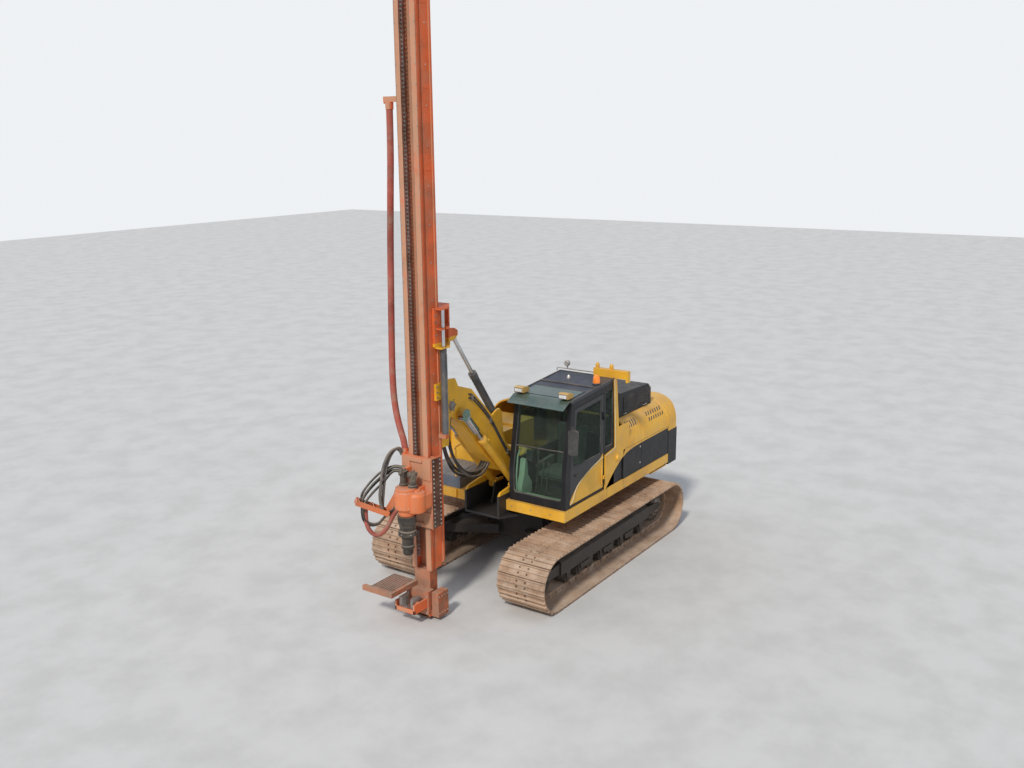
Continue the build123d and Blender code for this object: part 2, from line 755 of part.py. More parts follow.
# Mast: front channel with guide flanges, rear box, windows in the middle plate
window_rows = ((2420, 2860), (3160, 3620), (5500, 6000), (6490, 6860), (7210, 7760), (8130, 8600), (9050, 9520),
               (9900, 10350))
neck_front = mast_front - flange_thickness
neck_rear = neck_front - neck_depth
with BuildPart() as mast:
    slab(
        ((mast_rear, -rail_half), (mast_rear, rail_half), (mast_rear + rail_depth, rail_half),
         (mast_rear + rail_depth, box_half), (neck_rear, box_half), (neck_rear, neck_half),
         (neck_front, neck_half), (neck_front, flange_half), (mast_front, flange_half),
         (mast_front, slot_left), (neck_front, slot_left), (neck_front, neck_half - mast_wall),
         (neck_rear - 20, neck_half - mast_wall), (neck_rear - 20, -neck_half + mast_wall),
         (neck_front, -neck_half + mast_wall), (neck_front, slot_right), (mast_front, slot_right),
         (mast_front, -flange_half), (neck_front, -flange_half), (neck_front, -neck_half),
         (neck_rear, -neck_half), (neck_rear, -box_half), (mast_rear + rail_depth, -box_half),
         (mast_rear + rail_depth, -rail_half)),
        mast_bottom, mast_top,
    )
    block((mast_rear + mast_wall, neck_rear - 20 - mast_wall), (-box_half + mast_wall, box_half - mast_wall),
          (mast_bottom, mast_top), mode=Mode.SUBTRACT)
    plate(((mast_rear - 20, toe_top), (toe_front, mast_bottom - 1), (mast_rear - 20, mast_bottom - 1)),
          rail_half + 1, -rail_half - 1, mode=Mode.SUBTRACT)
    for low, high in window_rows:
        block((neck_rear - 60, neck_rear), (-5, 85), (low, high), mode=Mode.SUBTRACT)
    for reach in (-1, 1):
        block((slide_x - 20, slide_x + 50), (reach * (rail_half - 5), reach * (slide_y + 45)),
              (slide_barrel_bottom - 60, slide_barrel_bottom))
save(mast, "mast")

with BuildPart() as feed_chain:
    block((neck_front - 30, mast_front - 8), (chain_y - chain_width / 2, chain_y + chain_width / 2),
          (mast_bottom + 150, mast_top - 100))
save(feed_chain, "feed_chain")

with BuildPart() as crown:
    block((mast_rear - 20, mast_front + 60), (-210, 210), (mast_top + seat_gap, mast_top + 200))
save(crown, "mast_crown")

# Mast foot
with BuildPart() as mast_foot:
    block((foot_rear, mast_front), (-neck_half, neck_half), (foot_bottom, mast_bottom - seat_gap))
    block((mast_front - 5, 3500), (-130, -90), (440, 510))
    block((3440, 3500), (-630, -130), (440, 510))
    block((mast_front + 5, 3440), (-520, -130), (490, 505))
    block((mast_front - 5, 3060), (-200, 200), (foot_bottom, 440))
    block((foot_rear, 3000), (210, 330), (foot_bottom, 420))
    block((foot_rear, 3000), (neck_half - 5, 215), (foot_bottom, 140))
save(mast_foot, "mast_foot")

with BuildPart() as hose_hanger:
    block((2690, 2750), (-560, -box_half - seat_gap), (7060, 7130))
save(hose_hanger, "hose_hanger")

# Drill head
with BuildPart() as carriage:
    block((mast_front + 6, mast_front + 6 + carriage_plate), (-carriage_half, carriage_half), (head_bottom, head_top))
    for reach in (-1, 1):
        block((2780, mast_front + 46), (reach * (carriage_half - 24), reach * carriage_half), (head_bottom, head_top))
        block((2850, neck_front - 6), (reach * (neck_half + 8), reach * (carriage_half - 20)),
              (head_bottom, head_top))
        for z in (head_bottom + 20, head_top - pad_height - 20):
            block((mast_front + seat_gap, mast_front + 7), (reach * 110, reach * 170), (z, z + pad_height))
save(carriage, "head_carriage")

with BuildPart() as rotary_drive:
    upright((spindle_x, 0), 170, 1600, 2000)
    block((mast_front + 46, spindle_x), (-120, 120), (1640, 1960))
    block((3000, 3600), (-640, -600), (1700, 1760))
    block((3000, 3060), (-640, -100), (1700, 1760))
    upright((spindle_x, 0), shaft_radius + seat_gap, 1599, 1665, mode=Mode.SUBTRACT)
save(rotary_drive, "rotary_drive")

with BuildPart() as spindle:
    upright((spindle_x, 0), 130, 1500, 1600 - run_gap)
    upright((spindle_x, 0), shaft_radius, 1500, 1660)
    upright((spindle_x, 0), 70, spindle_bottom, 1500)
    upright((spindle_x, 0), socket_radius, spindle_bottom - 1, spindle_bottom + socket_depth, mode=Mode.SUBTRACT)
save(spindle, "spindle")
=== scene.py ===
import json
from math import cos, pi, radians, sin

import bmesh
import bpy
from mathutils import Matrix, Vector


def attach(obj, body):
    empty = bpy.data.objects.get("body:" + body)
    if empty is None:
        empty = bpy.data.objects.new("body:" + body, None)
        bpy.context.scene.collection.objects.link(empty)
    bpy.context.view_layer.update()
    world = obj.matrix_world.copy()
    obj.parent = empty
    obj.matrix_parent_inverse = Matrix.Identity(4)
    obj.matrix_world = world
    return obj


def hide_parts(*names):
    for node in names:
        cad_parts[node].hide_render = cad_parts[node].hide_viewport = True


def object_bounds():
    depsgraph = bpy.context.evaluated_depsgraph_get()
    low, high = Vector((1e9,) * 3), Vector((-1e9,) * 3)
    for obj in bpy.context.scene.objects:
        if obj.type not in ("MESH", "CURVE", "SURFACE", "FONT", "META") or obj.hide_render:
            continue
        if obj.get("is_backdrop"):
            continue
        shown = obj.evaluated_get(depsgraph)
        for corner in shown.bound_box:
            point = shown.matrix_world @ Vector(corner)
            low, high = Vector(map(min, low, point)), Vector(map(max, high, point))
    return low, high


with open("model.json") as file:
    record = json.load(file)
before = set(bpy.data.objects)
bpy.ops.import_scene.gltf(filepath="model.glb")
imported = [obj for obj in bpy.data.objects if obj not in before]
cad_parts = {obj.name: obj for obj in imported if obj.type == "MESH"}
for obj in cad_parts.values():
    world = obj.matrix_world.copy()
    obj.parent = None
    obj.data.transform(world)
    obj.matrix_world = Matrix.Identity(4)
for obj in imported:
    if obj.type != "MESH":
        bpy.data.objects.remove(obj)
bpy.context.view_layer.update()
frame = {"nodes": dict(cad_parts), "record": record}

scene = bpy.context.scene
# Slewing datum of the source, in metres: source x = row x - slew_x
slew_x = -0.425


# Materials
def filled(tree, made, values):
    """Give a node's inputs their values; a socket is linked."""
    for key, value in values.items():
        if isinstance(value, bpy.types.NodeSocket):
            tree.links.new(value, made.inputs[key])
        else:
            made.inputs[key].default_value = value
    return made


def node(tree, kind, values, out=0, **settings):
    """An output of a new node with its inputs and settings."""
    made = tree.nodes.new("ShaderNode" + kind)
    for key, value in settings.items():
        setattr(made, key, value)
    return filled(tree, made, values).outputs[out]


def ramp(tree, source, low, high):
    """0 below low, 1 above high, of a source socket."""
    return node(tree, "MapRange", {"Value": source, "From Min": low, "From Max": high},
                interpolation_type="SMOOTHSTEP")


def noise(tree, place, scale, detail=6.0, rough=0.6):
    """Fractal noise from 0 to 1."""
    return node(tree, "TexNoise", {"Vector": place, "Scale": scale, "Detail": detail, "Roughness": rough})


def mixed(tree, factor, first, second, blend="MIX"):
    """Colour mix; first and second are sockets or colours."""
    first, second = ((*value, 1) if isinstance(value, tuple) else value for value in (first, second))
    return node(tree, "Mix", {0: factor, 6: first, 7: second}, 2, data_type="RGBA", blend_type=blend)


def maths(tree, operation, *terms):
    """One operation over sockets and numbers, from the first to the last."""
    out = terms[0]
    for term in terms[1:]:
        out = node(tree, "Math", {0: out, 1: term}, operation=operation)
    return out


def parts(tree, vector):
    """The X, Y and Z of a vector."""
    return node(tree, "SeparateXYZ", {0: vector}).node.outputs


def new_material(name):
    """A material, its node tree, its shader and the place on the object in metres."""
    made = bpy.data.materials.new(name)
    made.use_nodes = True
    tree = made.node_tree
    return made, tree, tree.nodes["Principled BSDF"], node(tree, "TexCoord", {}, "Object")


def relief(tree, height, strength, distance):
    """Fine relief from a height."""
    return node(tree, "Bump", {"Height": height, "Strength": strength, "Distance": distance})


dust_colour = (0.40, 0.33, 0.25)
rust_colour = (0.20, 0.075, 0.03)


def finish(name, colour, shade, rough, metal=0.0, dust=0.3, up_dust=0.5, rust=0.1, streak=0.2, grain=60.0,
           bump=0.15, coat=0.0, dusty=dust_colour, low_dust=0.0, front_dust=0.0, gloss=0.5):
    """Worn finish: two tones, dust in patches and on upward faces, streaks, chipped rust and fine grain."""
    made, tree, shader, place = new_material(name)
    base = mixed(tree, ramp(tree, noise(tree, place, 2.6, 8.0), 0.38, 0.66), colour, shade)
    chips = ramp(tree, noise(tree, place, 14.0, 10.0, 0.72), 0.72 - 0.24 * rust, 0.78 - 0.2 * rust)
    base = mixed(tree, maths(tree, "MULTIPLY", chips, min(1.0, 0.35 + rust * 1.6)), base, rust_colour)
    tall = node(tree, "Mapping", {"Vector": place, "Scale": (16, 16, 1.1)})
    facing = parts(tree, node(tree, "NewGeometry", {}, "Normal"))
    lines = ramp(tree, noise(tree, tall, 1.0, 5.0, 0.6), 0.5, 0.78)
    patches = ramp(tree, noise(tree, place, 3.7, 9.0, 0.68), 0.42, 0.75)
    tops = [ramp(tree, facing["Z"], 0.25, 0.95), ramp(tree, noise(tree, place, 6.0, 8.0, 0.7), 0.25, 0.62)]
    layers = [([lines, streak], tuple((a + b) / 2 for a, b in zip(dusty, rust_colour))), ([patches, dust], dusty),
              ([*tops, up_dust], dusty)]
    if front_dust:
        fronts = [ramp(tree, facing["X"], 0.35, 0.9), ramp(tree, noise(tree, place, 2.2, 9.0, 0.7), 0.2, 0.5)]
        layers.append(([*fronts, front_dust], dusty))
    if low_dust:
        layers.append(([ramp(tree, parts(tree, place)["Z"], 1.3, 0.15), low_dust], dusty))
    for factors, layer in layers:
        base = mixed(tree, maths(tree, "MULTIPLY", *factors), base, layer)
    spread = node(tree, "MapRange", {"Value": noise(tree, place, 9.0, 6.0), "To Min": max(0.05, rough - 0.12),
                                     "To Max": min(1.0, rough + 0.2)})
    filled(tree, shader, {"Base Color": base, "Roughness": spread, "Metallic": metal, "Specular IOR Level": gloss,
                          "Normal": relief(tree, noise(tree, place, grain, 8.0, 0.65), bump, 0.004)})
    if coat:
        filled(tree, shader, {"Coat Weight": coat, "Coat Roughness": 0.2})
    return made


def glass(name, tint, clear, dust):
    """Thin tinted pane: mostly see-through, with a sharp reflection and a film of dust."""
    made, tree, shader, place = new_material(name)
    film = maths(tree, "MULTIPLY", ramp(tree, noise(tree, place, 4.5, 8.0, 0.7), 0.35, 0.8), dust)
    filled(tree, shader, {"Base Color": mixed(tree, film, tuple(c * 0.25 for c in tint), dust_colour),
                          "Roughness": 0.06})
    through = node(tree, "BsdfTransparent", {"Color": (*tint, 1)})
    joined = node(tree, "MixShader", {0: maths(tree, "SUBTRACT", clear, film), 1: shader.outputs[0], 2: through})
    filled(tree, tree.nodes["Material Output"], {0: joined})
    return made


def lens(name, colour, glow=0.0):
    """Ribbed clear plastic of a lamp."""
    made, tree, shader, place = new_material(name)
    ribs = node(tree, "TexWave", {"Vector": place, "Scale": 22.0}, "Fac", bands_direction="Y")
    worn = ramp(tree, noise(tree, place, 7.0, 5.0), 0.35, 0.75)
    filled(tree, shader, {"Base Color": mixed(tree, worn, colour, tuple(c * 0.7 for c in colour)),
                          "Roughness": 0.12, "Coat Weight": 0.6, "Normal": relief(tree, ribs, 0.3, 0.002)})
    if glow:
        filled(tree, shader, {"Emission Color": (*colour, 1), "Emission Strength": glow})
    return made


def two_tone(name, low, high, edge, **options):
    """Colour divided along a curve: colour low under it and high over it; it gives the door and the carrier two-tone
    paintwork and the upper frame a painted shade under its line. Edge is (x, z) in metres of the row.
    """
    made = finish(name, (1, 1, 1), (0.9, 0.9, 0.9), **options)
    tree = made.node_tree
    place = parts(tree, node(tree, "TexCoord", {}, "Object"))
    first, last = edge[0][0], edge[-1][0]
    bottom = min(z for _, z in edge) - 0.01
    top = max(z for _, z in edge) + 0.01
    along = node(tree, "MapRange", {"Value": place["X"], "From Min": first, "From Max": last})
    bow = node(tree, "FloatCurve", {"Value": along})
    mapping = bow.node.mapping
    line = mapping.curves[0]
    shares = [((x - first) / (last - first), (z - bottom) / (top - bottom)) for x, z in edge]
    line.points[0].location = shares[0]
    line.points[1].location = shares[-1]
    for share in shares[1:-1]:
        line.points.new(*share)
    mapping.update()
    height = node(tree, "MapRange", {"Value": bow, "To Min": bottom, "To Max": top})
    over = maths(tree, "SUBTRACT", place["Z"], height)
    shader = tree.nodes["Principled BSDF"]
    worn = shader.inputs["Base Color"].links[0].from_socket
    paint_and_shade = mixed(tree, ramp(tree, over, -0.003, 0.003), low, high)
    filled(tree, shader, {"Base Color": mixed(tree, 1.0, worn, paint_and_shade, "MULTIPLY")})
    return made


yellow = (0.88, 0.47, 0.03)
black = (0.016, 0.017, 0.02)

# Worn finishes: colour, second tone, roughness, metal, dust, dust on tops, rust, streaks, and options
finish_rows = dict(
    yellow_paint=(yellow, (0.74, 0.37, 0.025), 0.38, 0.0, 0.16, 0.3, 0.05, 0.14, {"coat": 0.15}),
    orange_paint=((0.8, 0.135, 0.028), (0.52, 0.12, 0.04), 0.55, 0.0, 0.28, 0.5, 0.42, 0.3,
                  {"dusty": (0.5, 0.32, 0.2), "front_dust": 0.72}),
    head_paint=((0.78, 0.19, 0.05), (0.55, 0.14, 0.05), 0.5, 0.0, 0.25, 0.4, 0.3, 0.25,
                {"dusty": (0.46, 0.33, 0.24), "front_dust": 0.15}),
    foot_paint=((0.5, 0.12, 0.04), (0.26, 0.1, 0.055), 0.68, 0.0, 0.45, 0.65, 0.8, 0.3,
                {"dusty": (0.42, 0.29, 0.2), "front_dust": 0.4}),
    black_paint=(black, (0.014, 0.015, 0.017), 0.34, 0.0, 0.035, 0.16, 0.0, 0.035,
                 {"low_dust": 0.12, "gloss": 0.22}),
    roof_paint=((0.018, 0.028, 0.05), (0.026, 0.036, 0.058), 0.34, 0.0, 0.08, 0.07, 0.0, 0.05, {}),
    grey_paint=((0.07, 0.075, 0.085), (0.12, 0.12, 0.125), 0.5, 0.0, 0.35, 0.4, 0.15, 0.3, {}),
    # The blue-grey below is the tool box's finish: the grey of its grit top, darkened into painted shade of the nose
    step_grey=((0.1, 0.125, 0.165), (0.14, 0.155, 0.18), 0.5, 0.0, 0.25, 0.3, 0.1, 0.1, {}),
    # The cream below colours the raised edge lines: a painted highlight
    cream_highlight=((0.72, 0.6, 0.36), (0.6, 0.48, 0.28), 0.5, 0.0, 0.2, 0.2, 0.02, 0.1, {}),
    track_steel=((0.47, 0.31, 0.2), (0.3, 0.18, 0.11), 0.8, 0.1, 0.7, 0.5, 0.35, 0.0,
                 {"grain": 30.0, "bump": 0.5, "dusty": (0.6, 0.48, 0.37)}),
    dark_steel=((0.04, 0.035, 0.03), (0.075, 0.06, 0.045), 0.62, 0.2, 0.5, 0.6, 0.3, 0.1, {"bump": 0.35}),
    rusty_steel=((0.13, 0.045, 0.022), (0.07, 0.03, 0.02), 0.7, 0.2, 0.3, 0.4, 0.5, 0.2, {"bump": 0.3}),
    bright_rod=((0.66, 0.67, 0.69), (0.56, 0.57, 0.58), 0.16, 1.0, 0.06, 0.1, 0.0, 0.03, {"bump": 0.03}),
    worn_steel=((0.34, 0.32, 0.3), (0.2, 0.16, 0.13), 0.48, 0.7, 0.35, 0.4, 0.4, 0.2, {}),
    bolt_steel=((0.55, 0.53, 0.5), (0.4, 0.36, 0.32), 0.35, 0.6, 0.2, 0.3, 0.25, 0.0, {}),
    seat_cloth=((0.09, 0.1, 0.095), (0.06, 0.07, 0.065), 0.9, 0.0, 0.1, 0.15, 0.0, 0.0,
                {"grain": 420.0, "bump": 0.4}),
    pale_green=((0.5, 0.58, 0.47), (0.4, 0.47, 0.37), 0.6, 0.0, 0.15, 0.25, 0.0, 0.05, {"grain": 300.0}),
    tan_plastic=((0.66, 0.4, 0.1), (0.5, 0.3, 0.08), 0.5, 0.0, 0.25, 0.3, 0.05, 0.1, {}),
    black_plastic=((0.035, 0.035, 0.037), (0.06, 0.06, 0.06), 0.55, 0.0, 0.2, 0.3, 0.0, 0.1, {"grain": 240.0}),
    tinted_panel=((0.03, 0.075, 0.065), (0.045, 0.1, 0.085), 0.12, 0.0, 0.1, 0.12, 0.0, 0.1,
                  {"bump": 0.02, "coat": 0.6}),
    hose_rubber=((0.02, 0.02, 0.02), (0.05, 0.045, 0.04), 0.6, 0.0, 0.45, 0.6, 0.0, 0.0, {"grain": 200.0}),
    grey_hose=((0.17, 0.15, 0.13), (0.08, 0.07, 0.065), 0.75, 0.0, 0.6, 0.6, 0.0, 0.0,
               {"grain": 260.0, "bump": 0.4}),
    red_sleeve=((0.42, 0.1, 0.07), (0.252, 0.06, 0.042), 0.85, 0.0, 0.45, 0.3, 0.0, 0.35,
                {"grain": 380.0, "bump": 0.6}),
)
finishes = {name: finish(name, *row[:-1], **row[-1]) for name, row in finish_rows.items()}
finishes["window_glass"] = glass("window_glass", (0.76, 0.86, 0.8), clear=0.93, dust=0.04)
finishes["clear_lens"] = lens("clear_lens", (0.8, 0.8, 0.78))
finishes["amber_lens"] = lens("amber_lens", (0.95, 0.25, 0.02), glow=0.15)

# Each CAD part takes the finish of its slot in the record, apart from the ones named below
nodes = frame["nodes"]
node_slots = {part["node"]: part["material_slot"] for part in frame["record"]["subparts"]}
for name, slot in node_slots.items():
    materials = nodes[name].data.materials
    for index in range(len(materials)):
        materials[index] = finishes[slot]

swoosh = ((-0.27, 1.90), (-0.117, 1.80), (0.2, 1.72), (0.5, 1.58), (0.776, 1.326), (0.9, 1.2))
worn_paint = {"rough": 0.5, "dust": 0.3, "streak": 0.25}
# Finishes of their own: two-tone paintwork, and painted shade on the upper frame and the tool box
own_paint_and_shade = dict(
    cab_door=two_tone("door_paint", yellow, black, swoosh, rough=0.36, dust=0.2, up_dust=0.4, rust=0.03,
                      streak=0.14, coat=0.1),
    # On the upper frame the near-black under z 1.39 is painted shade, the shadow of the boom and mast over the nose;
    # yellow above it
    upper_frame=two_tone("frame_painted_shade", (0.03, 0.028, 0.027), yellow, ((-3, 1.39), (3, 1.39)),
                         up_dust=0.4, rust=0.15, **worn_paint),
    mast_carrier=two_tone("carrier_paint", yellow, (0.74, 0.15, 0.04), ((-3, 3.92), (3, 3.92)),
                          up_dust=0.45, rust=0.25, **worn_paint),
    # Tool box: grit top, with painted shade over the whole box
    tool_box=finishes["step_grey"],
    mast_foot=finishes["foot_paint"],
    rotary_drive=finishes["head_paint"],
    counterweight=finishes["black_paint"],
)
for name, paint_and_shade in own_paint_and_shade.items():
    nodes[name].data.materials[0] = paint_and_shade


# Pieces that the solids leave to the looks; their points and sizes are in the source's millimetres
X, Y, Z = Vector((1, 0, 0)), Vector((0, 1, 0)), Vector((0, 0, 1))
both = (1, -1)


def at(x, y, z):
    """Place in metres from the source's millimetres; x counts from the slewing axis."""
    return Vector((slew_x + x / 1000, y / 1000, z / 1000))


def placed(points):
    """Places of source points; a Vector is a place already."""
    return [point if isinstance(point, Vector) else at(*point) for point in points]


def around(centre, across, beside, radius, count):
    """Places on a circle in the plane of two directions."""
    turns = [2 * pi * number / count for number in range(count)]
    return [centre + (across * cos(turn) + beside * sin(turn)) * radius / 1000 for turn in turns]


def linked(name, data):
    """New object in the scene."""
    made = bpy.data.objects.new(name, data)
    scene.collection.objects.link(made)
    return made


def smooth_object(name, mesh, slot):
    """Smooth object from a mesh under construction."""
    bmesh.ops.recalc_face_normals(mesh, faces=mesh.faces)
    data = bpy.data.meshes.new(name)
    mesh.to_mesh(data)
    mesh.free()
    for face in data.polygons:
        face.use_smooth = True
    data.materials.append(finishes[slot])
    return linked(name, data)


def worn_edge(made, width, angle=30):
    """Rounded edges where faces turn by more than an angle in degrees."""
    worn = made.modifiers.new("edge", "BEVEL")
    worn.width = width / 1000
    worn.segments = 2
    worn.limit_method = "ANGLE"
    worn.angle_limit = radians(angle)


pieces = []


class Piece:
    """A mesh under construction that rides on one body, takes one finish and may stand for a CAD node."""

    def __init__(self, name, body, slot, edge=0, sharp=35, stands_for=None):
        self.name, self.body, self.slot, self.stands_for = name, body, slot, stands_for
        self.edge, self.sharp = edge, sharp
        self.mesh = bmesh.new()
        pieces.append(self)

    def skin(self, rings):
        """Quads between rings of equal length, with both ends closed."""
        rings = [[self.mesh.verts.new(place) for place in placed(ring)] for ring in rings]
        for first, second in zip(rings, rings[1:]):
            for index in range(len(first)):
                follow = (index + 1) % len(first)
                self.mesh.faces.new((first[index], first[follow], second[follow], second[index]))
        self.mesh.faces.new(list(reversed(rings[0])))
        self.mesh.faces.new(rings[-1])

    def prism(self, outline, depth):
        """Plate from the corners of an outline, pushed along a depth."""
        outline = placed(outline)
        self.skin([outline, [place + Vector(depth) / 1000 for place in outline]])

    def plate(self, side_view, *y_places):
        """Plate or bar with one side view, rows of x and z, at each y."""
        self.skin([[(x, y, z) for x, z in side_view] for y in y_places])

    def box(self, low, high):
        """Bar between two corners."""
        (x, y, z), (x_far, y_far, z_far) = low, high
        self.prism([low, (x_far, y, z), (x_far, y_far, z), (x, y_far, z)], (0, 0, z_far - z))

    def lathe(self, foot, axis, profile, sides=16):
        """Turned body: profile rows are distance along the axis and radius."""
        foot, axis = placed([foot])[0], Vector(axis).normalized()
        across = axis.orthogonal().normalized()
        beside = axis.cross(across)
        self.skin([around(foot + axis * along / 1000, across, beside, radius, sides) for along, radius in profile])

    def bolts(self, points, axis, size):
        """Washer and six-sided head at each point of a face."""
        for point in points:
            self.lathe(point, axis, ((-1, size * 1.05), (size * 0.2, size * 1.05)), 10)
            self.lathe(point, axis, ((0, size * 0.8), (size * 0.75, size * 0.8), (size * 0.9, size * 0.66)), 6)

    def bolt_circle(self, centre, axis, radius, count, size):
        """Bolts round a centre on a face that looks along Y or Z."""
        self.bolts(around(at(*centre), X, Z if axis.y else Y, radius, count), axis, size)

    def studs(self, centre, radius, turns, size):
        """Bolts on an upright barrel, at angles from X."""
        for turn in turns:
            out = X * cos(turn) + Y * sin(turn)
            self.bolts([at(*centre) + out * radius / 1000], out, size)

    def tube(self, points, radius, sides=10):
        """Pipe along points, with its rings square to the run."""
        points = placed(points)
        rings = []
        turned = None
        for before, point, after in zip(points[:1] + points, points, points[1:] + points[-1:]):
            run = (after - before).normalized()
            if turned is None:
                turned = run.orthogonal().normalized()
            turned = (turned - run * turned.dot(run)).normalized()
            rings.append(around(point, turned, run.cross(turned), radius, sides))
        self.skin(rings)

    def done(self):
        """The object: its edges are rounded, and the ones over sharp degrees stay crisp."""
        made = smooth_object(self.name, self.mesh, self.slot)
        made.data.set_sharp_from_angle(angle=radians(self.sharp))
        if self.edge:
            worn_edge(made, self.edge)
        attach(made, self.body)
        if self.stands_for:
            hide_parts(self.stands_for)


def curved(points, steps=8):
    """Places along the smooth line through a few source points."""
    places = placed(points)
    out = []
    padded = [places[0] * 2 - places[1]] + places + [places[-1] * 2 - places[-2]]
    for a, b, c, d in zip(padded, padded[1:], padded[2:], padded[3:]):
        for step in range(steps):
            t = step / steps
            out.append(0.5 * (2 * b + (c - a) * t + (2 * a - 5 * b + 4 * c - d) * t * t
                              + (3 * b - a - 3 * c + d) * t ** 3))
    return out + places[-1:]


def free_hose(name, body, slot, route, diameter):
    """Hose held at both ends, a smooth curve by a few control points."""
    route = placed(route)
    curve = bpy.data.curves.new(name, "CURVE")
    curve.dimensions = "3D"
    curve.bevel_depth = diameter / 2000
    curve.bevel_resolution = 4
    curve.resolution_u = 10
    curve.use_fill_caps = True
    line = curve.splines.new("NURBS")
    line.points.add(len(route) - 1)
    for point, place in zip(line.points, route):
        point.co = (*place, 1)
    line.order_u = 3
    line.use_endpoint_u = True
    curve.materials.append(finishes[slot])
    made = linked(name, curve)
    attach(made, body)


# Sleeved hose from the hanger down to the head
free_hose("head_sleeve", "mast", "red_sleeve", (
    (2720, -480, 7060), (2722, -482, 6500), (2735, -505, 5900), (2752, -530, 5100), (2772, -538, 4300),
    (2790, -545, 3600), (2802, -530, 3150), (2822, -470, 2860), (2848, -380, 2640), (2868, -305, 2500),
    (2872, -290, 2378),
), 90)

# Hoses at the head and the sloping guide that they lie in
guide_start, guide_end = at(3240, -345, 1530), at(3575, -625, 1745)
guide_run = guide_end - guide_start
guide_across = Vector((-guide_run.y, guide_run.x, 0)).normalized()
guide_up = guide_run.normalized().cross(guide_across)


def on_guide(share, across, up):
    """Place at a share of the guide's length, across it and above it."""
    return guide_start + guide_run * share + (guide_across * across + guide_up * up) / 1000


# x and z of the port, place across the guide, how much lower the arch is, length
loop_rows = ((3008, 2190, -52, 0, 1.24), (3030, 2140, -10, 70, 1.18), (3052, 2190, 34, 30, 1.19),
             (3074, 2140, 60, 130, 1.15))
for number, (port_x, port_z, place, lower, length) in enumerate(loop_rows, 1):
    course = [at(port_x, -150, port_z), at(port_x, -235, port_z), at(port_x + 55, -330 + place / 3, port_z + 15)]
    course += [at(x, y, z - lower) + guide_across * place / 1000
               for x, y, z in ((3205, -425, 2135), (3345, -490, 2030), (3480, -540, 1900), (3510, -565, 1790))]
    course += [on_guide(share, place, 25) for share in (0.66, 0.12)]
    free_hose(f"head_loop_{number}", "head", "hose_rubber", course, 34)
for number, (place, forward, length) in enumerate(((-34, 0, 1.09), (30, 70, 1.12)), 1):
    course = [(2905 + forward / 2, -300, 2335), (2925 + forward / 2, -318, 2440)]
    course += [(x + forward, y, z)
               for x, y, z in ((3060, -345, 2430), (3190, -368, 2240), (3240, -380, 1960), (3262, -392, 1760))]
    free_hose(f"head_feed_hose_{number}", "head", "grey_hose", course + [on_guide(0.16, place, 30)], 42)
free_hose("lower_sleeve", "head", "red_sleeve", (
    (3462, -532, 1658), (3468, -536, 1530), (3452, -524, 1370), (3392, -474, 1262), (3318, -412, 1250),
    (3256, -350, 1330), (3222, -290, 1470), (3206, -235, 1570), (3200, -180, 1640),
), 62)
for number, (place, rise) in enumerate(((-14, 0), (16, 36)), 1):
    course = [(x + place / 3, y + place, z + rise) for x, y, z in (
        (3500, -560, 1668), (3505, -562, 1560), (3480, -544, 1450), (3410, -484, 1390), (3330, -420, 1400),
        (3270, -360, 1500), (3236, -300, 1560), (3215, -240, 1610), (3205, -180, 1650),
    )]
    free_hose(f"lower_loop_{number}", "head", "hose_rubber", course, 30)

# Hoses that hang under the boom's head: y, forward, lift, length
boom_rows = ((-66, 0, -40, 1.71), (-22, 30, 10, 1.68), (22, -20, 30, 1.61), (66, 20, -20, 1.70))
for number, (y, forward, lift, length) in enumerate(boom_rows, 1):
    free_hose(f"boom_hose_{number}", "boom", "hose_rubber", (
        (2300, y, 2768), (2345 + forward, y, 2560), (2290 + forward, y * 1.2, 2260),
        (2110 + forward, y * 1.4, 1960 + lift), (1880, y * 1.4, 1790 + lift), (1620, y * 1.2, 1740 + lift),
        (1450, y, 1790), (1395, y, 1862),
    ), 40)


# Glass
def pane(name, body, outline, depth):
    """Pane with a rubber round it."""
    Piece(name, body, "window_glass").prism(outline, depth)
    places = [place + Vector(depth) / 2000 for place in placed(outline)]
    centre = sum(places, Vector()) / len(places)
    run = []
    for before, place, after in zip(places[-1:] + places, places, places[1:] + places[:1]):
        run += [place + (before - place).normalized() * 0.05, place + (centre - place).normalized() * 0.012,
                place + (after - place).normalized() * 0.05]
    Piece(name + "_seal", body, "black_plastic").tube(run + run[:1], 11, 8)


Piece("windscreen", "house", "window_glass").plate(
    ((1235, 1420), (1235, 1794), (1077, 2780), (1069, 2780), (1227, 1794), (1227, 1420)), 415, 1260)
seal = Piece("windscreen_seal", "house", "black_plastic")
screen_run = [(1235, 415, 1460), (1235, 415, 1794), (1077, 415, 2740), (1073, 455, 2780), (1073, 1220, 2780),
              (1077, 1260, 2740), (1235, 1260, 1794), (1235, 1260, 1460), (1235, 1220, 1420), (1235, 455, 1420)]
seal.tube(screen_run + screen_run[:1], 13, 8)
seal.tube([(1181, 418, 2140), (1181, 1257, 2160)], 12, 8)
for name, body, y, side_view in (
    ("quarter_glass", "house", 1311, ((-140, 1960), (90, 1960), (90, 2830), (-140, 2850))),
    ("right_glass", "house", 362, ((-120, 1900), (1080, 1900), (960, 2770), (-120, 2850))),
    ("door_glass", "cab_door", 1311, ((220, 1900), (1040, 1900), (940, 2710), (220, 2760))),
):
    pane(name, body, [(x, y, z) for x, z in side_view], (0, 8, 0))
pane("rear_glass", "house", ((-180, 425, 2080), (-180, 1250, 2080), (-180, 1250, 2840), (-180, 425, 2840)), (8, 0, 0))


# Cab roof: tinted front panel, sun visor, gutters and cross bars, cap, rear rail and beacon
def on_roof(x, y, rise=0):
    """Point over the sloping roof."""
    return x, y, rise + (3005 - 0.07642 * (x + 195) if x < 1022 else 2912 - (x - 1022) / 6)


